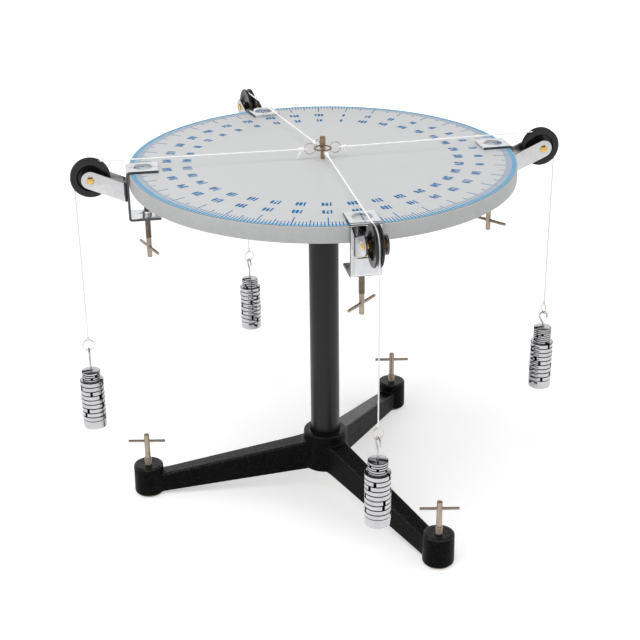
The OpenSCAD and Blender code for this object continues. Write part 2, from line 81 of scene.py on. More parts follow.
@dataclass
class Patch:
    """A surface in arrays: points in millimetres, and faces as lists of point numbers."""

    points: Array
    faces: list

    def placed(self, turn: Array | None = None, shift: Array | tuple = (0, 0, 0)) -> "Patch":
        """Turns and then shifts the patch.

        Args:
            turn: rotation as a 3 x 3 array whose columns are the new axes.
            shift: where the patch's origin goes.

        Returns:
            The placed copy.
        """
        points = self.points if turn is None else self.points @ turn.T
        return Patch(points + np.asarray(shift, float), self.faces)

    def __add__(self, other: "Patch") -> "Patch":
        """Puts two patches side by side in one."""
        return joined([self, other])


def joined(patches: list[Patch]) -> Patch:
    """Puts patches side by side in one; each one's point numbers go on from the last's.

    Args:
        patches: what to join.

    Returns:
        The whole.
    """
    starts = np.cumsum([0] + [len(patch.points) for patch in patches]).tolist()
    faces = [[start + i for i in face] for start, patch in zip(starts, patches) for face in patch.faces]
    return Patch(np.concatenate([patch.points for patch in patches]), faces)


def about_z(angle: float) -> Array:
    """Returns the rotation by an angle in radians about Z."""
    c, s = math.cos(angle), math.sin(angle)
    return np.array([[c, -s, 0], [s, c, 0], [0, 0, 1]])


# What was Z lies along the tangent, as a wheel on its axle; and what was Z lies along X
WHEEL_TURN = np.array([[1.0, 0, 0], [0, 0, -1], [0, 1, 0]])
BAR_TURN = np.array([[0.0, 0, 1], [0, 1, 0], [-1, 0, 0]])


def unit(vectors: Array) -> Array:
    """Scales a vector, or rows of them, to length 1."""
    return vectors / np.linalg.norm(vectors, axis=-1, keepdims=True)


def lengths(path: Array) -> Array:
    """Returns the length along a path from its start to each of its points."""
    return np.concatenate([[0], np.cumsum(np.linalg.norm(np.diff(path, axis=0), axis=1))])


def upright(flat: Array) -> Array:
    """Sets rows of x and z in the X and Z plane."""
    return np.insert(flat, 1, 0.0, axis=1)


def rise(values: Array, span: tuple) -> Array:
    """Goes evenly from 0 to 1 while values pass over a span."""
    return np.clip((values - span[0]) / (span[1] - span[0]), 0, 1)


def around(sides: int) -> Array:
    """Returns the angles of even steps all round, the first not repeated."""
    return np.linspace(0, 2 * np.pi, sides, endpoint=False)


def arc(centre: tuple, radius: float, start: float, end: float, count: int) -> Array:
    """Points on a circle's arc: centre + radius (cos a, sin a), a from start to end degrees."""
    a = np.radians(np.linspace(start, end, count))
    return np.array(centre) + radius * np.stack([np.cos(a), np.sin(a)], 1)


def circle(radius: float, count: int) -> Array:
    """Points all round a circle about the origin, the first not repeated."""
    return arc((0, 0), radius, 0, 360, count + 1)[:-1]


def rounded(corners: list, closed: bool = False, steps: int = 5) -> Array:
    """Rounds the corners of an outline.

    Each corner (x, y, r) gives way to an arc of radius r that touches both its sides. The arc's points
    are the centre plus a vector turned evenly from one touching point to the other.

    Args:
        corners: x, y and radius of each corner; a radius of 0 keeps the corner.
        closed: whether the last corner joins the first; an open outline keeps its ends.
        steps: points on each arc.

    Returns:
        The outline's points, as rows of x and y.
    """
    table = np.array(corners, float)
    spots, radii = table[:, :2], table[:, 2]
    t = np.linspace(0, 1, steps)[:, None]
    pieces = []
    for k, here in enumerate(spots):
        end = not closed and k in (0, len(spots) - 1)
        if end or radii[k] <= 0:
            pieces.append(here[None])
            continue
        back, on = unit(spots[k - 1] - here), unit(spots[(k + 1) % len(spots)] - here)
        half = math.acos(float(np.clip(back @ on, -1, 1))) / 2
        centre = here + unit(back + on) * radii[k] / math.sin(half)
        first, last = (here + way * radii[k] / math.tan(half) - centre for way in (back, on))
        sweep = math.pi - 2 * half
        pieces.append(centre + (np.sin((1 - t) * sweep) * first + np.sin(t * sweep) * last) / math.sin(sweep))
    return np.concatenate(pieces)


def grid(points: Array, wrap_u: bool = False, wrap_v: bool = False) -> Patch:
    """Faces a grid of points with four-sided faces.

    Args:
        points: array indexed by u, v and x y z.
        wrap_u: whether the last row in u joins the first.
        wrap_v: the same in v.

    Returns:
        The patch.
    """
    nu, nv = points.shape[:2]
    rows, columns = np.arange(nu if wrap_u else nu - 1), np.arange(nv if wrap_v else nv - 1)
    u, v = np.meshgrid(rows, columns, indexing="ij")
    un, vn = (u + 1) % nu, (v + 1) % nv
    faces = np.stack([u * nv + v, un * nv + v, un * nv + vn, u * nv + vn], -1).reshape(-1, 4)
    return Patch(points.reshape(-1, 3), faces.tolist())


def tube(points: Array, closed: bool = False) -> Patch:
    """Faces a row of sections.

    Args:
        points: array indexed by section, place round the section and x y z.
        closed: whether the last section joins the first; an open tube gets flat ends.

    Returns:
        The closed surface.
    """
    patch = grid(points, wrap_u=closed, wrap_v=True)
    if not closed:
        count, last = points.shape[1], points.shape[0] * points.shape[1]
        patch.faces += [list(range(count)), list(range(last - count, last))]
    return patch


def lathe(profile: Array | list, sides: int = 96, closed: bool = False) -> Patch:
    """Turns a profile about Z: the point (r, z) goes to (r cos a, r sin a, z) for a all round.

    Args:
        profile: rows of radius and height; an open one starts and ends on the axis.
        sides: steps in a full turn.
        closed: whether the profile is a loop clear of the axis.

    Returns:
        The closed surface of revolution.
    """
    a = around(sides)[:, None]
    r, z = np.array(profile, float).T[:, None]
    return grid(np.stack([r * np.cos(a), r * np.sin(a), z + 0 * a], -1), wrap_u=True, wrap_v=closed)


def turned(corners: list, sides: int = 96, closed: bool = False, steps: int = 5) -> Patch:
    """Turns an outline of corners (radius, height, rounding) about Z."""
    return lathe(rounded(corners, closed, steps), sides, closed)


def rod(radius: float, low: float, high: float, edges: tuple = (0, 0), sides: int = 40) -> Patch:
    """A round rod about Z; edges are the roundings of its lower and its upper end."""
    return turned([(0, low, 0), (radius, low, edges[0]), (radius, high, edges[1]), (0, high, 0)], sides)


def sleeve(bore: float, outer: float, low: float, high: float, edges: tuple, sides: int = 96) -> Patch:
    """A sleeve about Z; edges are the roundings of its lower outer, upper outer and upper inner corner."""
    return turned([(bore, low, 0), (outer, low, edges[0]), (outer, high, edges[1]), (bore, high, edges[2])],
                  sides, closed=True)


def drilled(radius: float, far: float, near: float, edges: tuple, hole: tuple, sides: int) -> Patch:
    """A disc about Z with a blind hole in its near side.

    Args:
        radius: of the disc.
        far: height of its whole side.
        near: height of its drilled side.
        edges: roundings of its far rim, its near rim and the hole's mouth.
        hole: the hole's radius and the height of its end.
        sides: steps in a full turn.

    Returns:
        The disc.
    """
    bore, end = hole
    return turned([(0, far, 0), (radius, far, edges[0]), (radius, near, edges[1]), (bore, near, edges[2]),
                   (bore, end, 0), (0, end, 0)], sides)


def carried(path: Array, across: Array, section: Array, scale: Array | float = 1.0,
            closed: bool = False) -> Patch:
    """Carries a section along a path.

    The section's point (a, b) goes to path + scale (a n + b m), where n = across x tangent and
    m = tangent x n are unit vectors at each point of the path.

    Args:
        path: rows of x y z.
        across: a direction that the path never runs along.
        section: rows of a and b in order round the section, or such rows for each point of the path.
        scale: size of the section, one number or one for each point of the path.
        closed: whether the path's end joins its start; an open path gets flat ends.

    Returns:
        The closed tube.
    """
    ahead = unit(np.roll(path, -1, 0) - np.roll(path, 1, 0) if closed else np.gradient(path, axis=0))
    normal = unit(np.cross(across, ahead))
    side = np.cross(ahead, normal)
    size = np.broadcast_to(scale, (len(path),))[:, None, None]
    spread = section[..., :1] * normal[:, None] + section[..., 1:] * side[:, None]
    return tube(path[:, None] + size * spread, closed)


def wire(path: Array, across: Array, diameter: float, sides: int = 20, round_ends: bool = True) -> Patch:
    """A round wire along a path; its ends are domed, with radius (1 - t^2)^(1/2) over the dome.

    Args:
        path: rows of x y z.
        across: a direction that the path never runs along.
        diameter: of the wire.
        sides: points round the wire.
        round_ends: whether to dome both ends.

    Returns:
        The closed wire.
    """
    scale = np.ones(len(path))
    if round_ends:
        t = np.sin(np.linspace(0, math.pi / 2, 6))[1:, None]
        reach = t * diameter / 2
        first, last = unit(path[0] - path[1]), unit(path[-1] - path[-2])
        dome = np.sqrt(np.maximum(1 - t[:, 0] ** 2, DOME_TIP))
        path = np.concatenate([path[0] + first * reach[::-1], path, path[-1] + last * reach])
        scale = np.concatenate([dome[::-1], scale, dome])
    return carried(path, across, circle(diameter / 2, sides), scale)


def threaded(core: float, crest: float, pitch: float, low: float, high: float, sides: int = 36) -> Patch:
    """A right-hand screw thread about Z.

    The radius at angle a and height z is core + (crest - core) s, where s rises and falls once in each
    pitch of z / pitch - a / 2 pi and fades out over half a pitch at both ends.

    Args:
        core: radius at the thread's root.
        crest: radius at its crest.
        pitch: height of one turn.
        low: height of its lower end.
        high: height of its upper end.
        sides: steps in a turn.

    Returns:
        The threaded rod with flat ends.
    """
    z = np.linspace(low, high, int((high - low) / pitch * THREAD_STEPS))[None, :]
    a = around(sides)[:, None]
    wave = np.abs(2 * ((z / pitch - a / (2 * np.pi)) % 1) - 1)
    shape = np.clip(THREAD_STEEP * wave - THREAD_ROOT, 0, 1)
    fade = rise(np.minimum(z - low, high - z), (0, pitch / 2))
    r = core + (crest - core) * shape * fade
    ends = np.zeros((sides, 1, 3))
    walls = np.stack([r * np.cos(a), r * np.sin(a), z + 0 * a], -1)
    return grid(np.concatenate([ends + low * UP, walls, ends + high * UP], 1), wrap_u=True)


def slab(start: float, end: float, width: float, low: float, high: float) -> Patch:
    """A thin block along X.

    Args:
        start: where it starts on X.
        end: where it ends.
        width: across the X axis, half on each side.
        low: height of its underside.
        high: height of its top.

    Returns:
        The block.
    """
    sides = (-width / 2, width / 2)
    corners = [(x, y, z) for x in (start, end) for y in sides for z in (low, high)]
    faces = [[0, 1, 3, 2], [4, 6, 7, 5], [0, 4, 5, 1], [2, 3, 7, 6], [0, 2, 6, 4], [1, 5, 7, 3]]
    return Patch(np.array(corners), faces)


def cross_bar(length: float, diameter: float, angle: float, height: float) -> Patch:
    """A level bar with rounded ends.

    Args:
        length: of the bar.
        diameter: of the bar.
        angle: in degrees from X.
        height: of its middle, on the Z axis.

    Returns:
        The bar.
    """
    bar = rod(diameter / 2, -length / 2, length / 2, (0.5, 0.5), 28)
    return bar.placed(about_z(math.radians(angle)) @ BAR_TURN, (0, 0, height))


# Meshes


def linked(name: str, data: bpy.types.ID) -> bpy.types.Object:
    """Makes an object and links it to the scene.

    Args:
        name: of the object.
        data: what it holds.

    Returns:
        The object.
    """
    thing = bpy.data.objects.new(name, data)
    bpy.context.scene.collection.objects.link(thing)
    return thing


def new_mesh(name: str, patch: Patch, scale: float = 1.0) -> bpy.types.Mesh:
    """Makes a mesh of a patch.

    Args:
        name: of the mesh.
        patch: its surface.
        scale: of its points.

    Returns:
        The mesh.
    """
    mesh = bpy.data.meshes.new(name)
    mesh.from_pydata((patch.points * scale).tolist(), [], patch.faces)
    return mesh


@contextmanager
def edited(mesh: bpy.types.Mesh) -> Iterator[bmesh.types.BMesh]:
    """Opens a mesh for work on its faces, and writes it back at the end.

    Args:
        mesh: what to work on.

    Returns:
        The shape to work on, as a context.
    """
    shape = bmesh.new()
    shape.from_mesh(mesh)
    yield shape
    shape.to_mesh(mesh)
    shape.free()


def rows_of(items: bpy.types.bpy_prop_collection, key: str, width: int = 3, kind: type = float) -> Array:
    """Reads a value of each of a mesh's items.

    Args:
        items: the mesh's points, edges or faces.
        key: the value's name.
        width: numbers in each value.
        kind: of number.

    Returns:
        The values as rows.
    """
    values = np.zeros(width * len(items), kind)
    items.foreach_get(key, values)
    return values.reshape(-1, width)


def patch_of(mesh: bpy.types.Mesh) -> Patch:
    """Takes the surface out of a mesh and drops the mesh.

    Args:
        mesh: what to take it from.

    Returns:
        The surface, in the mesh's numbers.
    """
    patch = Patch(rows_of(mesh.vertices, "co"), [list(face.vertices) for face in mesh.polygons])
    bpy.data.meshes.remove(mesh)
    return patch


def evaluated(thing: bpy.types.ID, modify: Callable | None = None) -> Patch:
    """Takes the shape of a curve, text or mesh after its own settings and modifiers.

    Args:
        thing: curve, text or mesh data.
        modify: called with the object that holds it, to add modifiers.

    Returns:
        The shape as a patch, in the numbers that the data holds.
    """
    holder = linked("blank", thing)
    if modify:
        modify(holder)
    mesh = bpy.data.meshes.new_from_object(holder.evaluated_get(bpy.context.evaluated_depsgraph_get()))
    bpy.data.objects.remove(holder)
    return patch_of(mesh)


def plate(outlines: list, thickness: float, edge: float) -> Patch:
    """A flat plate with rounded edges, from z = 0 up to its thickness.

    Args:
        outlines: the rim and then any holes, each rows of x and y.
        thickness: of the plate.
        edge: radius on every edge.

    Returns:
        The plate, drawn as a filled curve with a rounded border.
    """
    curve = bpy.data.curves.new("plate", "CURVE")
    curve.dimensions, curve.fill_mode = "2D", "BOTH"
    curve.extrude, curve.bevel_depth = thickness / 2 - edge, edge
    curve.bevel_resolution, curve.offset = BEVEL_STEPS, -edge
    for outline in outlines:
        spline = curve.splines.new("POLY")
        spline.points.add(len(outline) - 1)
        spline.points.foreach_set("co", np.insert(outline, 2, [[0], [1]], axis=1).ravel())
        spline.use_cyclic_u = True
    return evaluated(curve).placed(shift=(0, 0, thickness / 2))


def cut_across(patch: Patch, places: Array) -> Patch:
    """Adds edges across a patch.

    Args:
        patch: what to cut.
        places: values of x at which to cut.

    Returns:
        The patch with the new edges.
    """
    mesh = new_mesh("blank", patch)
    with edited(mesh) as shape:
        bmesh.ops.remove_doubles(shape, verts=shape.verts, dist=BLANK_WELD)
        for x in places:
            parts = [*shape.verts, *shape.edges, *shape.faces]
            bmesh.ops.bisect_plane(shape, geom=parts, plane_co=(x, 0, 0), plane_no=(1, 0, 0))
    return patch_of(mesh)


def folded(blank: Patch, path: Array) -> Patch:
    """Folds a flat sheet as a press brake does.

    The blank's x is its developed length u along the fold path, y runs along the folds, and z is its
    height w. A point goes to C(u) + (w - half) N(u), where C is the path at length u and N its normal.

    Args:
        blank: the flat sheet, with z from 0 to its thickness.
        path: rows of x and z of the sheet's middle, with its bends as arcs of short steps.

    Returns:
        The folded sheet, with x and z in the path's plane.
    """
    run = lengths(path)
    ahead = unit(np.gradient(path, run, axis=0))
    sheet = cut_across(blank, run[1:-1])
    u, y, w = sheet.points.T
    lift = w - blank.points[:, 2].max() / 2
    x, z, ax, az = (np.interp(u, run, column) for column in (*path.T, *ahead.T))
    return Patch(np.stack([x - lift * az, y, z + lift * ax], 1), sheet.faces)


# Finishes


class Nodes:
    """Adds and links nodes in one node tree."""

    def __init__(self, tree: bpy.types.NodeTree) -> None:
        """Keeps the tree."""
        self.tree = tree

    def feed(self, socket: Socket, value: Any) -> None:
        """Links a socket to another, or sets its value.

        Args:
            socket: an input.
            value: an output to link, or a value.
        """
        if isinstance(value, Socket):
            self.tree.links.new(value, socket)
        else:
            socket.default_value = value

    def add(self, kind: str, props: dict | None = None, at: dict | None = None,
            **inputs: Any) -> bpy.types.Node:
        """Adds a node.

        Args:
            kind: its type name.
            props: settings of the node itself.
            at: by the number of an input, a value or a socket to link.
            inputs: the same by the input's name, with underscores for spaces.

        Returns:
            The node.
        """
        node = self.tree.nodes.new(kind)
        for key, value in (props or {}).items():
            setattr(node, key, value)
        named = {key.replace("_", " "): value for key, value in inputs.items()}
        for key, value in {**(at or {}), **named}.items():
            self.feed(node.inputs[key], value)
        return node

    def mapped(self, value: Any, ends: tuple, over: tuple = (0.0, 1.0), kind: str = "LINEAR") -> Socket:
        """Goes from one end to the other while a value passes over a span.

        Args:
            value: a number or a socket.
            ends: the results at the span's start and end.
            over: the span.
            kind: how it goes between them.

        Returns:
            The result.
        """
        node = self.add("ShaderNodeMapRange", {"interpolation_type": kind}, Value=value, From_Min=over[0],
                        From_Max=over[1], To_Min=ends[0], To_Max=ends[1])
        return node.outputs["Result"]

    def ramp(self, value: Any, ends: tuple, over: tuple) -> Socket:
        """Goes smoothly from one end to the other while a value passes over a span."""
        return self.mapped(value, ends, over, "SMOOTHSTEP")

    def math(self, operation: str, *values: Any) -> Socket:
        """Joins numbers or sockets by an operation."""
        return self.add("ShaderNodeMath", {"operation": operation}, dict(enumerate(values))).outputs[0]

    def times(self, first: Any, second: Any) -> Socket:
        """Returns the product of two values."""
        return self.math("MULTIPLY", first, second)

    def mixed(self, mask: Any, first: Any, second: Any) -> Socket:
        """Goes from the first number to the second as a mask goes from 0 to 1."""
        return self.add("ShaderNodeMix", {"data_type": "FLOAT"}, {0: mask, 2: first, 3: second}).outputs[0]

    def blend(self, mask: Any, first: Any, second: Any) -> Socket:
        """Goes from the first colour to the second as a mask goes from 0 to 1."""
        return self.add("ShaderNodeMix", {"data_type": "RGBA"}, {0: mask, 6: first, 7: second}).outputs[2]

    def noise(self, place: Any, scale: Any, detail: Any) -> Socket:
        """Returns a noise of about 0 to 1 over a place."""
        return self.add("ShaderNodeTexNoise", Vector=place, Scale=scale, Detail=detail).outputs["Fac"]

    def attribute(self, name: str) -> Socket:
        """Returns a number that the mesh holds for each point."""
        return self.add("ShaderNodeAttribute", {"attribute_name": name}).outputs["Fac"]

    def rays(self) -> tuple:
        """Returns the kinds of ray, and a mask of those that a shiny surface sends on."""
        kinds = self.add("ShaderNodeLightPath").outputs
        return kinds, self.math("MAXIMUM", kinds["Is Glossy Ray"], kinds["Is Transmission Ray"])


def emptied(owner: bpy.types.ID) -> Nodes:
    """Gives a material or a world an empty node tree.

    Args:
        owner: the material or world.

    Returns:
        The helper for its nodes.
    """
    owner.use_nodes = True
    owner.node_tree.nodes.clear()
    return Nodes(owner.node_tree)


def new_group(name: str, inputs: dict, outputs: tuple) -> tuple:
    """Starts a shader node group.

    Args:
        name: of the group.
        inputs: socket names and default values, a vector where the value is None.
        outputs: names of its value outputs.

    Returns:
        The group's tree, its nodes helper, its input sockets and its output sockets.
    """
    tree = bpy.data.node_groups.new(name, "ShaderNodeTree")
    for key, value in inputs.items():
        kind = "NodeSocketVector" if value is None else "NodeSocketFloat"
        socket = tree.interface.new_socket(key, in_out="INPUT", socket_type=kind)
        if value is not None:
            socket.default_value = value
    for key in outputs:
        tree.interface.new_socket(key, in_out="OUTPUT", socket_type="NodeSocketFloat")
    nodes = Nodes(tree)
    return tree, nodes, nodes.add("NodeGroupInput").outputs, nodes.add("NodeGroupOutput").inputs


@cache
def mottle_group(finer: float = 6.3) -> bpy.types.NodeTree:
    """Soft blotches, as handling and uneven coating leave.

    The mask is contrast (broad + small - 1) + 1/2 kept within 0 and 1, from two noises.

    Args:
        finer: how many times finer the small noise is.

    Returns:
        The group.
    """
    inputs = {"Vector": None, "Scale": 40.0, "Contrast": 1.6}
    tree, nodes, taken, given = new_group("mottle", inputs, ("Mask",))
    broad = nodes.noise(taken["Vector"], taken["Scale"], 3.0)
    small = nodes.noise(taken["Vector"], nodes.times(taken["Scale"], finer), 2.0)
    offset = nodes.math("SUBTRACT", 0.5, taken["Contrast"])
    mask = nodes.math("MULTIPLY_ADD", nodes.math("ADD", broad, small), taken["Contrast"], offset)
    nodes.feed(given["Mask"], nodes.add("ShaderNodeClamp", Value=mask).outputs[0])
    return tree


@cache
def grain_group(peak_span: tuple = (0.5, 0.72)) -> bpy.types.NodeTree:
    """Fine relief: a noise over coordinates that may be stretched, with its height and its peaks.

    Args:
        peak_span: heights at which a peak starts and is full.

    Returns:
        The group.
    """
    inputs = {"Vector": None, "Stretch": None, "Scale": 900.0, "Detail": 3.0}
    tree, nodes, taken, given = new_group("grain", inputs, ("Height", "Peaks"))
    ends = {0: taken["Vector"], 1: taken["Stretch"]}
    drawn = nodes.add("ShaderNodeVectorMath", {"operation": "MULTIPLY"}, ends).outputs[0]
    height = nodes.noise(drawn, taken["Scale"], taken["Detail"])
    nodes.feed(given["Height"], height)
    nodes.feed(given["Peaks"], nodes.mapped(height, (0.0, 1.0), peak_span))
    return tree


@dataclass(frozen=True)
class Finish:
    """A surface: two colours that its blotches blend, a range of roughness, and a relief.

    The grain's peaks may have a colour of their own, and the mesh's upturned ridges a painted highlight.
    Gloss is the roughness of a coat on faces that look up, depth how far light spreads under the surface,
    and glow how much painted light it gives off itself.
    """

    name: str
    color: tuple
    second: tuple
    rough: tuple
    metal: float = 0.0
    mottle: float = 40.0
    grain: float = 900.0
    stretch: tuple = (1.0, 1.0, 1.0)
    relief: float = 0.0
    relief_strength: float = 0.4
    peaks: tuple | None = None
    # The ridge colour is a painted highlight on upturned edges; the grain heights over ridge_break break it
    # up
    ridge: tuple | None = None
    ridge_break: tuple = (0.35, 1.0)
    specular: float = 0.5
    gloss: float | None = None
    gloss_break: tuple = (0.5, 1.0)
    depth: float = 0.0
    glow: float = 0.0

    @cache
    def material(self) -> bpy.types.Material:
        """Builds the material, once.

        Returns:
            The material, whose patterns lie on Object coordinates.
        """
        material = bpy.data.materials.new(self.name)
        material.use_nodes = True
        nodes = Nodes(material.node_tree)
        given = material.node_tree.nodes["Principled BSDF"].inputs
        place = nodes.add("ShaderNodeTexCoord").outputs["Object"]
        blotch = nodes.add("ShaderNodeGroup", {"node_tree": mottle_group()}, Vector=place, Scale=self.mottle)
        blotch = blotch.outputs["Mask"]
        relief = nodes.add("ShaderNodeGroup", {"node_tree": grain_group()}, Vector=place, Scale=self.grain,
                           Stretch=self.stretch).outputs
        color = nodes.blend(blotch, (*self.color, 1), (*self.second, 1))
        if self.peaks:
            color = nodes.blend(relief["Peaks"], color, (*self.peaks, 1))
        # Painted highlight: a lighter colour along upturned edges, where light from above would catch them
        if self.ridge:
            painted_highlight = nodes.times(nodes.attribute("ridge"), nodes.mapped(relief["Peaks"], self.ridge_break))
            color = nodes.blend(painted_highlight, color, (*self.ridge, 1))
        looks = {"Base Color": color, "Roughness": nodes.mapped(blotch, self.rough), "Metallic": self.metal,
                 "Specular IOR Level": self.specular}
        if self.gloss:
            coat = nodes.times(nodes.attribute("level"), nodes.mapped(relief["Peaks"], self.gloss_break))
            looks |= {"Coat Weight": coat, "Coat Roughness": self.gloss}
        if self.depth:
            looks |= {"Subsurface Weight": 1, "Subsurface Radius": (1, 1, 1)}
            looks["Subsurface Scale"] = self.depth * MM
        # Painted glow: the surface gives off light in its own colour, though it is no lamp
        if self.glow:
            looks |= {"Emission Color": color, "Emission Strength": self.glow}
        if self.relief:
            bump = nodes.add("ShaderNodeBump", Strength=self.relief_strength, Distance=self.relief * MM,
                             Height=relief["Height"])
            looks["Normal"] = bump.outputs["Normal"]
        for key, value in looks.items():
            nodes.feed(given[key], value)
        return material


# The casting's ridge colour is a painted highlight on its upturned edges
CAST_PAINT = Finish("cast paint", (0.0018, 0.0018, 0.002), (0.004, 0.0039, 0.0039), (0.32, 0.46), mottle=22,
                    grain=460, relief=0.9, relief_strength=0.55, peaks=(0.012, 0.0118, 0.0118),
                    ridge=(0.075, 0.073, 0.073), specular=0.045, gloss=0.22)
SATIN_BLACK = Finish("satin black", (0.009, 0.009, 0.0095), (0.013, 0.0125, 0.0125), (0.28, 0.40), mottle=18,
                     grain=1400, stretch=(1, 1, 0.15), relief=0.08, specular=0.30)
BOARD_PAINT = Finish("grey board paint", (0.505, 0.51, 0.515), (0.56, 0.565, 0.57), (0.42, 0.55), mottle=25,
                     grain=500, relief=0.12)
SHEET_EDGE = Finish("sheet edge", (0.20, 0.20, 0.205), (0.26, 0.26, 0.265), (0.5, 0.65), mottle=60)
DIAL_SHEET = Finish("dial sheet", (0.575, 0.58, 0.585), (0.605, 0.61, 0.615), (0.38, 0.48), mottle=14,
                    grain=2200, relief=0.03)
BLUE_INK = Finish("blue ink", (0.001, 0.140, 0.355), (0.003, 0.165, 0.395), (0.45, 0.6), mottle=160,
                  specular=0.03)
PALE_BLUE_INK = Finish("pale blue ink", (0.22, 0.47, 0.65), (0.26, 0.51, 0.68), (0.42, 0.55), mottle=90,
                       specular=0.2)
RED_INK = Finish("red ink", (0.50, 0.03, 0.025), (0.62, 0.06, 0.05), (0.4, 0.5), mottle=400)
BRIGHT_CHROME = Finish("bright chrome", (0.76, 0.77, 0.79), (0.67, 0.68, 0.70), (0.07, 0.16), metal=1,
                       mottle=45, grain=700, stretch=(1, 1, 0.05), relief=0.008, relief_strength=0.2)
# Darker metal for cut sides, and painted shade in the fork's folds beside the bracket
CUT_EDGE_AND_FOLD_SHADE = Finish("cut edge", (0.13, 0.13, 0.135), (0.06, 0.06, 0.063), (0.25, 0.4), metal=1, mottle=200)
# Painted shade and dark reflection on the weights' rounded edges, in the seams between the discs
SEAM_SHADE = Finish("painted seam shade", (0.05, 0.05, 0.053), (0.03, 0.03, 0.032), (0.25, 0.4), metal=1, mottle=200)
TURNED_CHROME = Finish("turned chrome", (0.57, 0.57, 0.59), (0.47, 0.47, 0.49), (0.07, 0.14), metal=1,
                       mottle=120, grain=2600, stretch=(0.06, 0.06, 1), relief=0.006, relief_strength=0.2)
FORK_PLATE = Finish("fork plate", (0.69, 0.69, 0.70), (0.60, 0.60, 0.61), (0.24, 0.36), metal=1, mottle=60,
                    grain=1800, stretch=(1, 1, 0.08), relief=0.02, relief_strength=0.3)
NICKEL = Finish("dull nickel", (0.43, 0.355, 0.285), (0.30, 0.24, 0.19), (0.18, 0.32), metal=1, mottle=130,
                grain=2600, stretch=(1, 1, 0.15), relief=0.02, relief_strength=0.3)
THREAD_NICKEL = Finish("thread nickel", (0.35, 0.285, 0.225), (0.25, 0.20, 0.155), (0.26, 0.40), metal=1,
                       mottle=200, grain=3000, relief=0.03)
PIN_METAL = Finish("pin metal", (0.44, 0.30, 0.20), (0.27, 0.18, 0.11), (0.14, 0.28), metal=1, mottle=220,
                   grain=3000, stretch=(0.1, 0.1, 1), relief=0.02)
RING_WIRE = Finish("plated wire", (0.90, 0.87, 0.81), (0.48, 0.42, 0.35), (0.10, 0.22), metal=1, mottle=220,
                   grain=3000, relief=0.01)
DARK_WIRE = Finish("dark wire", (0.42, 0.31, 0.22), (0.13, 0.085, 0.055), (0.10, 0.24), metal=1, mottle=260,
                   grain=3000, relief=0.02)
BRASS = Finish("turned brass", (0.83, 0.56, 0.19), (0.70, 0.45, 0.14), (0.14, 0.28), metal=1, mottle=260,
               grain=3000, relief=0.015)
PULLEY_BLACK = Finish("pulley moulding", (0.006, 0.006, 0.0065), (0.010, 0.010, 0.0105), (0.16, 0.28),
                      mottle=90, grain=2400, relief=0.02, specular=0.42)
# The thread's glow is painted light that brightens it all over
WHITE_THREAD = Finish("white thread", (0.97, 0.97, 0.96), (0.90, 0.90, 0.88), (0.75, 0.95), mottle=500,
                      grain=5000, depth=0.8, glow=0.09)


# Pieces


def put(name: str, patch: Patch, finish: Finish, body: str, slot: str, node: str = "",
        other: Finish | None = None, where: Callable | None = None, angle: float = 0.0) -> bpy.types.Object:
    """Makes a finished piece: closes its seams, turns its faces out, and hangs it on its body.

    Args:
        name: of the piece.
        patch: its surface, in the part's frame.
        finish: its surface's looks.
        body: the part's body that it moves with.
        slot: the record's material slot; not used.
        node: of the part, that it takes the place of.
        other: a second finish, for some of its faces.
        where: takes the faces' normals and middles, in millimetres, and says which get the second.
        angle: turn about Z of the frame in which it sees them.

    Returns:
        The piece.
    """
    mesh = new_mesh(name, patch, MM)
    with edited(mesh) as shape:
        bmesh.ops.remove_doubles(shape, verts=shape.verts, dist=WELD)
        bmesh.ops.recalc_face_normals(shape, faces=shape.faces)
    mesh.validate()
    mesh.shade_smooth()
    mesh.set_sharp_from_angle(angle=SHARP_ANGLE)
    mesh.materials.append(finish.material())
    if other:
        mesh.materials.append(other.material())
        normals, middles = (rows_of(mesh.polygons, key) @ about_z(angle) for key in ("normal", "center"))
        mesh.polygons.foreach_set("material_index", where(normals, middles / MM).astype(np.int32))
    piece = linked(name, mesh)
    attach(piece, body)
    if node:
        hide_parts(node)
    log.info("made %s: %d faces, on %s", name, len(mesh.polygons), body)
    return piece


def joint(name: str) -> dict:
    """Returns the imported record's joint of that name."""
    return next(j for j in frame["joints"] if j["name"] == name)


def spot(name: str) -> Array:
    """Returns a joint's place in millimetres."""
    return np.array(joint(name)["pos_m"], float) / MM


# Studio


class Lamp(NamedTuple):
    """A soft square lamp: where it is, what it is aimed at, its side and its power."""

    name: str
    place: tuple
    aim: tuple
    size: float
    power: float


def stood(thing: bpy.types.Object, place: Array, axes: list) -> None:
    """Puts an object at a place in millimetres, with its axes along three given ones."""
    thing.matrix_world = Matrix.Translation(place * MM) @ Matrix(np.stack(axes, 1).tolist()).to_4x4()


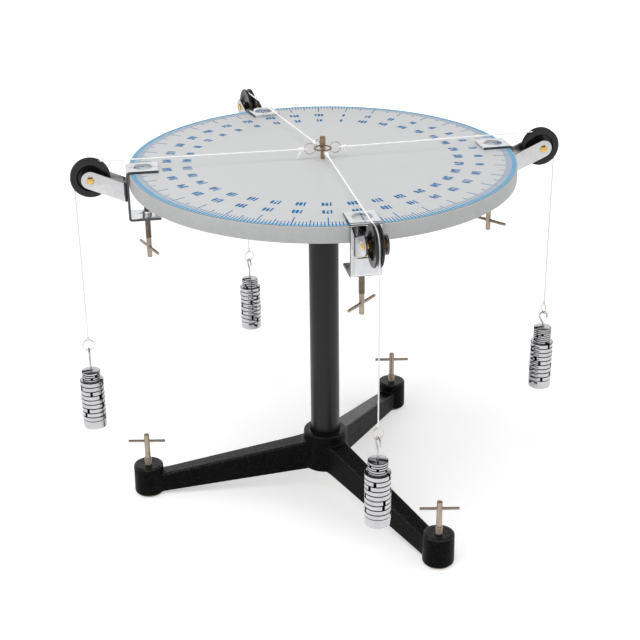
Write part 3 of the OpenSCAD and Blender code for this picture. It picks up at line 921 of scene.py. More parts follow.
@dataclass
class Studio:
    """The camera at the photograph's view, a pale floor and soft light."""

    target: tuple = (-4.7, 0.0, 203.4)
    distance: float = 1486.74
    pitch: float = 24.5
    roll: float = -0.616
    heading: float = -12.6
    lens: float = 76.67
    sensor: float = 36.0
    clip: tuple = (0.05, 60.0)
    floor_half: float = 12000.0
    floor_z: float = -0.02
    floor_color: float = 0.80
    floor_glow: float = 0.46
    far_glow: float = 0.78
    glow_reach: tuple = (700.0, 1700.0)
    mirrored_far: float = 0.72
    mirrored_reach: tuple = (500.0, 1100.0)
    ambient: float = 0.50
    wall: float = 1.0
    ceiling: float = 0.05
    wall_fade: tuple = (0.50, 0.60)
    panel: float = 0.8
    panel_rise: tuple = (0.86, 0.94)
    lamps: tuple = (
        Lamp("overhead", (-460, -400, 2250), (0, 0, 200), 1350, 20.5),
        Lamp("front_left", (-1900, -1500, 1500), (0, 0, 250), 1300, 11.0),
        Lamp("right", (2100, -500, 1300), (0, 0, 250), 1000, 9.0),
    )

    def camera(self) -> None:
        """Sets the camera: it looks along (0, cos p, -sin p), rolled, then turned to the part's heading."""
        p, r = math.radians(self.pitch), math.radians(self.roll)
        forward = np.array([0, math.cos(p), -math.sin(p)])
        up = np.array([0, math.sin(p), math.cos(p)])
        right, up = math.cos(r) * X + math.sin(r) * up, math.cos(r) * up - math.sin(r) * X
        turn = about_z(math.radians(self.heading))
        data = bpy.data.cameras.new("camera")
        data.lens, data.sensor_width = self.lens, self.sensor
        data.clip_start, data.clip_end = self.clip
        holder = linked("camera", data)
        place = turn @ (np.array(self.target) - self.distance * forward)
        stood(holder, place, [turn @ axis for axis in (right, up, -forward)])
        bpy.context.scene.camera = holder

    def light(self) -> None:
        """Adds the soft lamps, which reflections don't show."""
        for lamp in self.lamps:
            data = bpy.data.lights.new(lamp.name, "AREA")
            data.size, data.energy = lamp.size * MM, lamp.power
            holder = linked(lamp.name, data)
            holder.visible_glossy = False
            z = unit(np.array(lamp.place, float) - lamp.aim)
            x = unit(np.cross(UP, z))
            stood(holder, np.array(lamp.place), [x, np.cross(z, x), z])

    def surround(self) -> None:
        """Sets the world.

        It is white to the camera. In reflections it is a white wall under a dim ceiling with a pale panel
        overhead.
        """
        world = bpy.data.worlds.new("studio")
        bpy.context.scene.world = world
        nodes = emptied(world)
        kinds, mirrored = nodes.rays()
        place = nodes.add("ShaderNodeTexCoord").outputs["Generated"]
        height = nodes.add("ShaderNodeSeparateXYZ", Vector=place).outputs["Z"]
        wall = nodes.ramp(height, (self.wall, self.ceiling), self.wall_fade)
        panel = nodes.ramp(height, (0.0, self.panel), self.panel_rise)
        inside = nodes.mixed(mirrored, self.ambient, nodes.math("MAXIMUM", wall, panel))
        strength = nodes.mixed(kinds["Is Camera Ray"], inside, 1.0)
        back = nodes.add("ShaderNodeBackground", Color=(1, 1, 1, 1), Strength=strength)
        nodes.add("ShaderNodeOutputWorld", Surface=back.outputs[0])

    def floor(self) -> None:
        """Lays the floor: pale and matt, with a glow to the camera that leaves shadows and grows far off."""
        h, z = self.floor_half, self.floor_z
        square = Patch(np.array([[-h, -h, z], [h, -h, z], [h, h, z], [-h, h, z]]), [[0, 1, 2, 3]])
        mesh = new_mesh("floor", square, MM)
        material = bpy.data.materials.new("floor")
        nodes = emptied(material)
        kinds, mirrored = nodes.rays()
        place = nodes.add("ShaderNodeTexCoord").outputs["Object"]
        away = nodes.add("ShaderNodeVectorMath", {"operation": "LENGTH"}, {0: place}).outputs["Value"]
        spread = nodes.ramp(away, (self.floor_glow, self.far_glow), np.array(self.glow_reach) * MM)
        dimmed = nodes.ramp(away, (1.0, self.mirrored_far), np.array(self.mirrored_reach) * MM)
        share = nodes.mixed(mirrored, 1.0, dimmed)
        seen = nodes.math("MAXIMUM", kinds["Is Camera Ray"], mirrored)
        strength = nodes.times(share, nodes.mixed(seen, 0.0, spread))
        matt = nodes.add("ShaderNodeBsdfDiffuse", Color=nodes.times(share, self.floor_color)).outputs[0]
        glow = nodes.add("ShaderNodeEmission", Strength=strength).outputs[0]
        both = nodes.add("ShaderNodeAddShader", None, {0: matt, 1: glow})
        nodes.add("ShaderNodeOutputMaterial", Surface=both.outputs[0])
        mesh.materials.append(material)
        linked("floor", mesh)

    def build(self) -> None:
        """Sets the whole studio."""
        bpy.context.scene.view_settings.view_transform = "Standard"
        self.camera()
        self.light()
        self.surround()
        self.floor()
        log.info("studio set")


# The four stations


@dataclass
class Station:
    """One pulley's place on the rim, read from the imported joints."""

    number: int
    bar_turn: float
    slot_turn: float
    small_count: int
    tail: float
    angle: float = field(init=False)
    axle_r: float = field(init=False)
    axle_z: float = field(init=False)
    pivot: Array = field(init=False)
    ring_angle: float = field(init=False)

    def __post_init__(self) -> None:
        """Finds the station's direction, axle, end ring and ring plane."""
        axle, swing = spot(self.named("pulley_spin")), self.named("hanger_swing")
        self.angle = math.atan2(axle[1], axle[0])
        self.axle_r, self.axle_z = math.hypot(axle[0], axle[1]), axle[2]
        self.pivot = spot(swing)
        way = joint(swing)["axis"]
        self.ring_angle = math.atan2(way[1], way[0])

    def named(self, word: str) -> str:
        """Adds the station's number to a name."""
        return f"{word}_{self.number}"

    def place(self, patch: Patch) -> Patch:
        """Turns a patch from radius, tangent and height to the station's direction."""
        return patch.placed(about_z(self.angle))

    def put(self, word: str, patch: Patch, finish: Finish, body: str, slot: str, node: str = "",
            **second: Any) -> bpy.types.Object:
        """Makes a piece whose name, body and node get the station's number."""
        names = self.named(word), patch, finish, self.named(body), slot, node and self.named(node)
        return put(*names, **second, angle=self.angle)


@dataclass
class StringLine:
    """A taut string: level from its link ring, a quarter turn over the pulley, then straight down."""

    diameter: float = 1.0
    start_r: float = 19.62
    over_r: float = 16.4
    ring_r: float = 6.0
    link_r: float = 5.7
    link_centre: float = 13.27
    ring_wire: float = 1.1
    ring_gap: float = 0.1
    ring_cut: float = 1.2
    step: float = 0.5
    turn_steps: int = 48
    strands: int = 3
    sides: int = 15
    lay: float = 3.2
    bulge: float = 0.09
    fullness: float = 1.36
    knot_size: float = 1.3
    knot_sides: int = 10
    eye_gap: float = 0.05
    eye_slant: float = 0.35
    coil_r: float = 0.95
    coil_turns: float = 3.6
    coil_h: float = 3.2
    coil_gap: float = 0.1
    coil_wire: float = 1.1
    tails: tuple = ((1.0, 0.9), (0.8, -0.8))
    tail_wire: float = 0.9
    tail_in: float = 0.3
    tail_up: float = 1.6
    tail_slope: float = 0.55
    tail_curl: float = 2.2
    end_knot_size: float = 0.8
    end_tail: float = 1.2

    def route(self, station: Station) -> Array:
        """Works out the string's centre line.

        Args:
            station: where it hangs.

        Returns:
            Rows of radius and height in the station's plane.
        """
        top, out = station.axle_z + self.over_r, station.axle_r + self.over_r
        bottom = station.pivot[2] + 2 * self.ring_r + self.ring_wire / 2 + self.ring_gap
        level = np.linspace(self.start_r, station.axle_r, int((station.axle_r - self.start_r) / self.step))
        turn = arc((station.axle_r, station.axle_z), self.over_r, 90, 0, self.turn_steps)
        fall = np.linspace(station.axle_z, bottom, int((station.axle_z - bottom) / self.step))
        run = np.stack([level, 0 * level + top], 1)
        drop = np.stack([0 * fall + out, fall], 1)
        return np.concatenate([run[:-1], turn, drop[1:]])

    def thread(self, path: Array) -> Patch:
        """A laid thread along a path in the X and Z plane.

        Its section at angle a and length s has radius R (1 + bulge cos(strands (a - 2 pi s / lay))), so that
        the strands wind round each other once in each lay.

        Args:
            path: rows of x y z.

        Returns:
            The thread.
        """
        a = around(self.sides)
        wave = np.cos(self.strands * (a - 2 * np.pi * lengths(path)[:, None] / self.lay))
        r = self.fullness * self.diameter / 2 * (1 + self.bulge * wave)
        return carried(path, Y, np.stack([r * np.cos(a), r * np.sin(a)], -1))

    def knot(self, tail: float, size: float) -> Patch:
        """A hitch in its own frame: the string leaves along +Z from a ring wire along X at the origin.

        A loop goes round the wire, coils of radius k d wind up the string, and two frayed tails bend off
        along +X as x = tail t^1.5, z = slope tail t.

        Args:
            tail: length of the longer tail across the string.
            size: thickness of the knot's thread in diameters of the string.

        Returns:
            The loop, the coils and the tails.
        """
        d = size * self.diameter
        eye, coil_r = (self.ring_wire + d) / 2 + self.eye_gap, self.coil_r * d
        loop_t, coil_t, t = (np.linspace(0, 1, count)[:, None] for count in (40, 110, 28))
        a = 2 * np.pi * loop_t
        loop = np.concatenate([self.eye_slant * np.cos(a), eye * np.sin(a), eye * np.cos(a)], 1)
        a = 2 * np.pi * self.coil_turns * coil_t
        height = eye + self.coil_gap + self.coil_h * d * coil_t
        coil = np.concatenate([coil_r * np.cos(a), coil_r * np.sin(a), height], 1)
        made = [wire(loop, X, d, self.knot_sides, False), wire(coil, UP, self.coil_wire * d, self.knot_sides)]
        for part, spread in self.tails:
            off = coil_r - self.tail_in + part * tail * t ** 1.5
            height = eye + self.tail_up + self.tail_slope * part * tail * t
            end = np.concatenate([off, spread * np.sin(self.tail_curl * t), height], 1)
            made.append(wire(end, Y, self.tail_wire * d, self.knot_sides))
        return joined(made)

    def jump_ring(self, mean: float) -> Patch:
        """A ring of wire in the X and Z plane, cut through at its top."""
        ring = arc((0, 0), mean, 90 + self.ring_cut, 450 - self.ring_cut, 97)
        return wire(upright(ring), Y, self.ring_wire, 16, False)

    def rings(self, station: Station) -> Patch:
        """The link ring, upright in the station's plane, and the ring at the string's lower end.

        Args:
            station: where the string hangs.

        Returns:
            Both rings.
        """
        level = station.axle_z + self.over_r
        link = station.place(self.jump_ring(self.link_r).placed(shift=(self.link_centre, 0, level)))
        middle = station.pivot + self.ring_r * UP
        return link + self.jump_ring(self.ring_r).placed(about_z(station.ring_angle), middle)

    def build(self, station: Station) -> None:
        """Makes one string with its knots and rings.

        Args:
            station: where it hangs.
        """
        path = upright(self.route(station))
        thread = station.place(self.thread(path))
        line = station.put("string_thread", thread, WHITE_THREAD, "clamp", "string", "string")
        start = (self.link_centre + self.link_r, 0, station.axle_z + self.over_r)
        near = station.place(self.knot(station.tail, self.knot_size).placed(BAR_TURN, start))
        top = station.pivot + 2 * self.ring_r * UP
        far = self.knot(self.end_tail, self.end_knot_size).placed(about_z(station.ring_angle), top)
        knots = station.put("string_knots", near + far, WHITE_THREAD, "clamp", "string")
        station.put("jump_rings", self.rings(station), RING_WIRE, "clamp", "ring_wire", "string_rings")
        world = station.place(Patch(path, [])).points * MM
        length = float(lengths(world)[-1])


@dataclass
class Pulley:
    """The grooved wheel on its brass axle."""

    wheel_r: float = 20.2
    wheel_half: float = 4.2
    crown: float = 0.35
    shoulder: float = 1.6
    crest_in: float = 1.95
    crest_r: float = 1.1
    groove_r: float = 15.8
    groove_half: float = 0.6
    rim_in_r: float = 12.6
    rim_draft: float = 0.9
    web_half: float = 2.0
    hub_r: float = 5.0
    hub_half: float = 5.2
    bore_r: float = 2.05
    axle_r: float = 2.0
    arm_out: float = 11.05
    head_r: float = 4.1
    head_h: float = 2.2
    head_edge: float = 0.15
    crown_ends: tuple = (4, 82)
    dimple: tuple = ((0.6, 0.12), (0.35, 0.4), (0, 0.45))
    spacer: tuple = (3.0, 5.3, 8.95)

    def wheel(self) -> Patch:
        """The wheel turned about Z: hub, thin web, deep rim and two round crests beside the groove.

        Returns:
            The wheel.
        """
        side = self.wheel_half - self.crown
        half = [
            (self.bore_r, self.hub_half, 0.2), (self.hub_r, self.hub_half, 0.5),
            (self.hub_r, self.web_half, 0.9), (self.rim_in_r, self.web_half, 1.2),
            (self.rim_in_r + self.rim_draft, side, 0.7),
            (self.wheel_r - self.shoulder, self.wheel_half, 2.0), (self.wheel_r, side, self.crest_r),
            (self.wheel_r, self.crest_in, self.crest_r), (self.groove_r, self.groove_half, 0.5),
        ]
        other = [(r, -y, e) for r, y, e in reversed(half)]
        return turned(half + other, 128, closed=True, steps=6)

    def head(self) -> Patch:
        """A domed axle head with a punched centre.

        Returns:
            The head, standing on z = 0.
        """
        dome_r = (self.head_r ** 2 + self.head_h ** 2) / (2 * self.head_h)
        skip, end = self.crown_ends
        start = 90 - math.degrees(math.asin(self.head_r / dome_r)) + skip
        crown = arc((0, self.head_h - dome_r), dome_r, start, end, 14)
        foot = [(0, 0), (self.head_r - self.head_edge, 0), (self.head_r, self.head_edge)]
        return lathe(np.concatenate([foot, crown, [(r, self.head_h - sunk) for r, sunk in self.dimple]]), 48)

    def axle(self) -> Patch:
        """The axle with its two heads and two barrel-shaped spacers.

        Returns:
            The whole axle, along Z.
        """
        pin = rod(self.axle_r, -self.arm_out, self.arm_out, sides=32)
        spacer = sleeve(self.bore_r, *self.spacer, (0.9, 0.9, 0), 40)
        side = spacer + self.head().placed(shift=(0, 0, self.arm_out))
        return joined([pin, side, side.placed(np.diag([1.0, -1, -1]))])

    def build(self, station: Station) -> None:
        """Makes one wheel and its axle.

        Args:
            station: where they are.
        """
        centre = (station.axle_r, 0, station.axle_z)
        shapes = self.wheel(), self.axle()
        wheel, axle = (station.place(shape.placed(WHEEL_TURN, centre)) for shape in shapes)
        station.put("grooved_wheel", wheel, PULLEY_BLACK, "pulley", "pulley_plastic", "pulley_wheel")
        station.put("brass_axle", axle, BRASS, "clamp", "brass", "axle")


@dataclass
class RimClamp:
    """The folded bracket on the rim, and the folded fork that carries the pulley."""

    width: float = 30.0
    thickness: float = 2.5
    end_r: float = 169.8
    out_r: float = 202.8
    top: float = 389.6
    bottom: float = 336.6
    bend: float = 2.25
    bend_steps: int = 10
    window_r: float = 185.05
    window_d: float = 19.0
    screw_r: float = 183.8
    screw_d: float = 6.1
    corner: float = 1.2
    edge: float = 0.35
    boss_d: float = 10.0
    boss_h: float = 4.0
    boss_sunk: float = 0.2
    line_w: float = 0.55
    line_t: float = 0.04
    line_end: float = 1.0
    line_gap: float = 0.6
    line_out: float = 1.2
    fork_w: float = 22.0
    fork_t: float = 2.0
    fork_edge: float = 0.3
    fork_gap: float = 0.05
    fork_bend: float = 2.0
    fork_hole: float = 2.05
    arm_r: float = 9.2
    arm_rise: float = 15.55
    rivet_d: float = 3.2
    rivet_gap: float = 12.0
    rivet_head: tuple = (0.9, 0.5)
    rivet_in: float = 4.0
    rivet_rim: float = 0.1
    side_share: float = 0.75
    fold_reach: float = 2.7

    def bracket(self) -> Patch:
        """The bracket, folded twice from a flat blank with its window and screw hole.

        Returns:
            The bracket with its screw boss.
        """
        half = self.thickness / 2
        out, top, bottom = self.out_r - half, self.top - half, self.bottom + half
        path = rounded([(self.end_r, top, 0), (out, top, self.bend), (out, bottom, self.bend),
                        (self.end_r, bottom, 0)], steps=self.bend_steps)
        long, w, c = lengths(path)[-1], self.width / 2, self.corner
        rim = rounded([(0, -w, c), (long, -w, c), (long, w, c), (0, w, c)], closed=True)
        window = circle(self.window_d / 2, 72) + (self.window_r - self.end_r, 0)
        hole = circle(self.screw_d / 2, 32) + (long - (self.screw_r - self.end_r), 0)
        sheet = folded(plate([rim, window, hole], self.thickness, self.edge), path)
        floor = self.bottom + self.thickness
        boss = sleeve(self.screw_d / 2, self.boss_d / 2, floor - self.boss_sunk, floor + self.boss_h,
                      (0, 0.6, 0.4), 48)
        return sheet + boss.placed(shift=(self.screw_r, 0, 0))

    def index_lines(self) -> Patch:
        """Red lines along the radius on both sides of the window, as thin slabs on the top face.

        Returns:
            Both lines.
        """
        clear = self.window_d / 2 + self.line_gap
        spans = ((self.end_r + self.line_end, self.window_r - clear),
                 (self.window_r + clear, self.out_r - self.bend - self.line_out))
        low, high = self.top - INK_SUNK, self.top + self.line_t
        return joined([slab(start, end, self.line_w, low, high) for start, end in spans])

    def fork(self, station: Station) -> Patch:
        """The fork, folded from a blank whose two arms slope up to the axle.

        Args:
            station: whose axle it carries.

        Returns:
            The fork.
        """
        half = self.fork_t / 2
        back, tip = self.out_r + self.fork_gap + half, station.axle_r + self.arm_r
        arm_y = self.fork_w / 2 - half
        path = rounded([(tip, -arm_y, 0), (back, -arm_y, self.fork_bend), (back, arm_y, self.fork_bend),
                        (tip, arm_y, 0)], steps=self.bend_steps)
        long = lengths(path)[-1]
        slope = math.atan2(self.arm_rise, station.axle_r - self.out_r)
        lean = math.degrees(slope)
        nose = arc((0, 0), self.arm_r, 90 + lean, -90 + lean, 28) * (-1, 1) + (self.arm_r, station.axle_z)
        foot, foot_z = self.arm_r / math.cos(slope), station.axle_z - self.arm_rise
        low, high = foot_z - foot, foot_z + foot
        rise_z = (self.fork_bend + half) * math.tan(slope)
        bend_u = tip - back - self.fork_bend
        base_u = bend_u + math.pi / 2 * self.fork_bend
        left = np.concatenate([[(base_u, high), (bend_u, high + rise_z)], nose,
                               [(bend_u, low + rise_z), (base_u, low)]])
        right = (left * (-1, 1) + (long, 0))[::-1]
        holes = [circle(self.fork_hole, 24) + (u, station.axle_z) for u in (self.arm_r, long - self.arm_r)]
        sheet = folded(plate([np.concatenate([left, right]), *holes], self.fork_t, self.fork_edge), path)
        return Patch(sheet.points[:, [0, 2, 1]], sheet.faces)

    def cut_edges(self, normals: Array, middles: Array) -> Array:
        """Says which of the bracket's faces are on its cut sides."""
        return np.abs(middles[:, 1]) > self.width / 2 - self.edge

    def dull(self, normals: Array, middles: Array) -> Array:
        """Says which faces are darker: the fork's cut sides, and its folds by the bracket in painted shade.
        """
        # The folds beside the bracket get painted shade, standing in for the crevice's shadow
        folds = middles[:, 0] < self.out_r + self.fork_gap + self.fold_reach
        return folds | (np.abs(normals[:, 1]) < 1 - self.side_share)

    def rivets(self, station: Station) -> Patch:
        """Two domed rivets along X through the fork's back.

        Args:
            station: whose fork they hold.

        Returns:
            Both rivets.
        """
        wide, tall = (share * self.rivet_d for share in self.rivet_head)
        shank, end = self.rivet_d / 2, -self.rivet_in
        a = np.linspace(self.rivet_rim, math.pi / 2, 9)
        dome = np.stack([wide * np.cos(a), tall * np.sin(a)], 1)
        rivet = lathe(np.concatenate([[(0, end), (shank, end), (shank, 0), (wide, 0)], dome]), 32)
        face = self.out_r + 2 * self.fork_gap + self.fork_t
        middle, half = station.axle_z - self.arm_rise, self.rivet_gap / 2
        return joined([rivet.placed(BAR_TURN, (face, 0, z)) for z in (middle - half, middle + half)])

    def build(self, station: Station) -> None:
        """Makes one bracket, its index lines, its fork and its rivets.

        Args:
            station: where they are.
        """
        bracket, lines, fork, rivets = (station.place(shape) for shape in (
            self.bracket(), self.index_lines(), self.fork(station), self.rivets(station)))
        station.put("folded_bracket", bracket, BRIGHT_CHROME, "clamp", "bracket_chrome", "clamp_bracket",
                    other=CUT_EDGE_AND_FOLD_SHADE, where=self.cut_edges)
        station.put("index_lines", lines, RED_INK, "clamp", "bracket_chrome")
        station.put("folded_fork", fork, FORK_PLATE, "clamp", "fork_plate", "pulley_fork", other=CUT_EDGE_AND_FOLD_SHADE,
                    where=self.dull)
        station.put("brass_rivets", rivets, BRASS, "clamp", "brass", "fork_rivets")


@dataclass
class ClampScrew:
    """The screw under a bracket: plain end, cross bar, thread and tip, and the pad that meets the table.

    A rod is its radius, low end and high end, the bar its length and diameter, the thread its core, crest,
    pitch, low end and high end, and the seat the radius and the end of the pad's hole.
    """

    place_r: float = 183.8
    plain: tuple = (2.65, 291.6, 313.2)
    bar: tuple = (45.0, 3.2)
    bar_z: float = 302.6
    thread: tuple = (2.5, 3.0, 1.0, 312.6, 366.5)
    tip: tuple = (2.45, 366.0, 368.5)
    pad: tuple = (5.0, 369.8, 366.6)
    seat: tuple = (2.55, 368.6)

    def build(self, station: Station) -> None:
        """Makes one screw with its bar, its thread and its pad.

        Args:
            station: where they are.
        """
        handle = rod(*self.plain, (0.5, 0.3)) + cross_bar(*self.bar, station.bar_turn, self.bar_z)
        thread = threaded(*self.thread) + rod(*self.tip, sides=32)
        shapes = handle, thread, drilled(*self.pad, (0.5, 0.5, 0.2), self.seat, 48)
        handle, thread, pad = (station.place(shape.placed(shift=(self.place_r, 0, 0))) for shape in shapes)
        station.put("clamp_handle", handle, NICKEL, "clamp_screw", "nickel", "clamp_screw")
        station.put("clamp_thread", thread, THREAD_NICKEL, "clamp_screw", "nickel")
        station.put("clamp_pad", pad, NICKEL, "clamp_pad", "nickel", "pressure_pad")


@dataclass
class WeightSet:
    """A hanger with its hook, and the slotted weights on it."""

    large_r: float = 12.7
    small_r: float = 9.8
    base_t: float = 9.5
    weight_t: float = 5.1
    small_t: float = 2.5
    stack_gap: float = 0.05
    large_count: int = 9
    height: float = 92.0
    wire_d: float = 2.2
    hook_r: float = 4.6
    lean: float = 32.0
    hook_end: float = -25.0
    bend_r: float = 3.0
    stem_sunk: float = 1.0
    slot_w: float = 2.9
    edge: float = 0.6
    edge_share: float = 0.24
    seam_tilt: tuple = (0.2, 0.99)
    crown_lift: float = 1.73
    slot_spread: float = 75.0
    slot_step: float = 138.0

    def hanger(self) -> Patch:
        """The base disc, and one wire for stem, slant and hook.

        Returns:
            The hanger on z = 0, its hook in the X and Z plane.
        """
        base = rod(self.large_r, 0, self.base_t, (self.edge, self.edge), 96)
        hook_z, lean = self.height - self.hook_r, math.radians(self.lean)
        meet_x, meet_z = -self.hook_r * math.cos(lean), hook_z - self.hook_r * math.sin(lean)
        stem_top = meet_z - self.hook_r / math.tan(lean) * math.cos(lean)
        foot = (0, self.base_t - self.stem_sunk, 0)
        stem = rounded([foot, (0, stem_top, self.bend_r), (meet_x, meet_z, 0)], steps=12)
        curl = arc((0, hook_z), self.hook_r, 180 + self.lean, self.hook_end, 48)
        return base + wire(upright(np.concatenate([stem[:-1], curl])), Y, self.wire_d)

    def weight(self, radius: float, thickness: float) -> Patch:
        """A slotted disc: its outline runs round the rim, in along the slot and round the slot's end.

        Args:
            radius: of the disc.
            thickness: of the disc.

        Returns:
            The disc on z = 0, its slot open along +X.
        """
        half = self.slot_w / 2
        gap = math.degrees(math.asin(half / radius))
        outline = np.concatenate([arc((0, 0), radius, gap, 360 - gap, 97), arc((0, 0), half, 270, 90, 13)])
        return plate([outline], thickness, min(self.edge, self.edge_share * thickness))

    def seam(self, normals: Array, middles: Array) -> Array:
        """Says which of the weights' faces are on their rounded edges, which get painted shade in the seams.
        """
        tilt, (low, high) = np.abs(normals[:, 2]), self.seam_tilt
        return (tilt > low) & (tilt < high)

    def stack(self, station: Station) -> Patch:
        """The weights, each turned from the one below as they were dropped on.

        Args:
            station: where they hang.

        Returns:
            The stack, over the underside of its hanger.
        """
        shift = (station.number - 1) * self.slot_step / 4
        large, small = self.weight(self.large_r, self.weight_t), self.weight(self.small_r, self.small_t)
        discs = [(large, self.weight_t)] * self.large_count + [(small, self.small_t)] * station.small_count
        low, made = self.base_t + self.stack_gap, []
        for k, (disc, thickness) in enumerate(discs):
            swing = self.slot_spread * math.sin(math.radians(k * self.slot_step + shift))
            turn = about_z(station.angle + math.radians(station.slot_turn + swing))
            made.append(disc.placed(turn, (0, 0, low)))
            low += self.stack_gap + thickness
        return joined(made)

    def build(self, station: Station) -> None:
        """Makes one hanger, its hook's crown on the end ring's lower wire, and its weights.

        Args:
            station: where they hang.
        """
        at = station.pivot + (self.crown_lift - self.height) * UP
        hanger = self.hanger().placed(about_z(station.ring_angle + math.pi / 2), at)
        station.put("hook_and_base", hanger, TURNED_CHROME, "hanger", "weight_chrome", "weight_hanger")
        station.put("weight_stack", self.stack(station).placed(shift=at), TURNED_CHROME, "weights",
                    "weight_chrome", "slotted_weights", other=SEAM_SHADE, where=self.seam)


# The stand and its dial


class DialRow(Enum):
    """A row of numbers: the radius of its middle, and the way its numbers grow seen from above."""

    OUTER = (161.4, -1)
    INNER = (140.4, 1)


class TickRank(Enum):
    """A kind of degree mark: how often it comes, where it starts, and its width."""

    TEN = (10, 176.5, 1.1)
    FIVE = (5, 183.5, 1.0)
    ONE = (1, 188.0, 0.92)


@dataclass
class Dial:
    """The printed sheet on the table: a pale band, degree marks and two rows of numbers."""

    radius: float = 199.0
    face_z: float = 387.0
    thickness: float = 0.6
    hole_r: float = 2.35
    zero: float = 68.6
    band_in: float = 194.2
    band_out: float = 198.8
    mark_out: float = 198.6
    ink_t: float = 0.03
    mark_t: float = 0.048
    digit_h: float = 9.8
    digit_w: float = 3.1
    one_w: float = 1.705
    digit_step: float = 3.6
    digit_bold: float = 0.1
    digit_steps: int = 3
    edge_r: float = 198.9

    def sheet(self) -> Patch:
        """The sheet with its centre hole, turned about Z.

        Returns:
            The sheet.
        """
        low, high = self.face_z - self.thickness, self.face_z
        return turned([(self.hole_r, low, 0), (self.radius, low, 0), (self.radius, high, 0.15),
                       (self.hole_r, high, 0)], 360, closed=True, steps=4)

    def band(self) -> Patch:
        """The pale band near the rim, a flat ring as thick as its ink."""
        low, high = self.face_z - INK_SUNK, self.face_z + self.ink_t
        return sleeve(self.band_in, self.band_out, low, high, (0, 0, 0), 360)

    def marks(self) -> Patch:
        """All the degree marks: each is a thin slab along the radius, of the first rank that it falls in.

        Returns:
            The marks.
        """
        taken, made = set(), []
        for rank in TickRank:
            every, start, width = rank.value
            tick = slab(start, self.mark_out, width, self.face_z - INK_SUNK, self.face_z + self.mark_t)
            degrees = [degree for degree in range(0, 360, every) if degree not in taken]
            taken.update(degrees)
            made += [tick.placed(about_z(math.radians(self.zero + degree))) for degree in degrees]
        return joined(made)

    def digit(self, value: int) -> Patch:
        """A digit as a flat solid, as tall and wide as the dial's.

        Args:
            value: from 0 to 9.

        Returns:
            The digit, centred on the origin.
        """
        text = bpy.data.curves.new("digit", "FONT")
        text.body, text.resolution_u = str(value), self.digit_steps
        text.extrude, text.offset = INK_SUNK, self.digit_bold
        shape = evaluated(text)
        bpy.data.curves.remove(text)
        low, high = shape.points.min(0), shape.points.max(0)
        size = np.array([self.one_w if value == 1 else self.digit_w, self.digit_h, self.ink_t])
        return Patch((shape.points - (low + high) / 2) * size / (high - low), shape.faces)

    def numbers(self) -> Patch:
        """Both rows: each number's top points outwards, so its digits run clockwise about the centre.

        Returns:
            All the numbers.
        """
        digits = [self.digit(value) for value in range(10)]
        height, made = self.face_z + (self.ink_t - INK_SUNK) / 2, []
        for row in DialRow:
            middle, way = row.value
            for degree in range(0, 360, 10):
                turn, label = about_z(math.radians(self.zero + way * degree - 90)), str(degree)
                for k, letter in enumerate(label):
                    place = ((k - (len(label) - 1) / 2) * self.digit_step, middle, height)
                    made.append(digits[int(letter)].placed(shift=place).placed(turn))
        return joined(made)

    def build(self) -> None:
        """Makes the sheet and its print."""
        put("dial_sheet", self.sheet(), DIAL_SHEET, "stand", "dial_print", "dial_face", SHEET_EDGE,
            lambda normals, middles: np.hypot(middles[:, 0], middles[:, 1]) > self.edge_r)
        put("dial_band", self.band(), PALE_BLUE_INK, "stand", "dial_print")
        put("dial_marks", self.marks(), BLUE_INK, "stand", "dial_print")
        put("dial_numbers", self.numbers(), BLUE_INK, "stand", "dial_print")


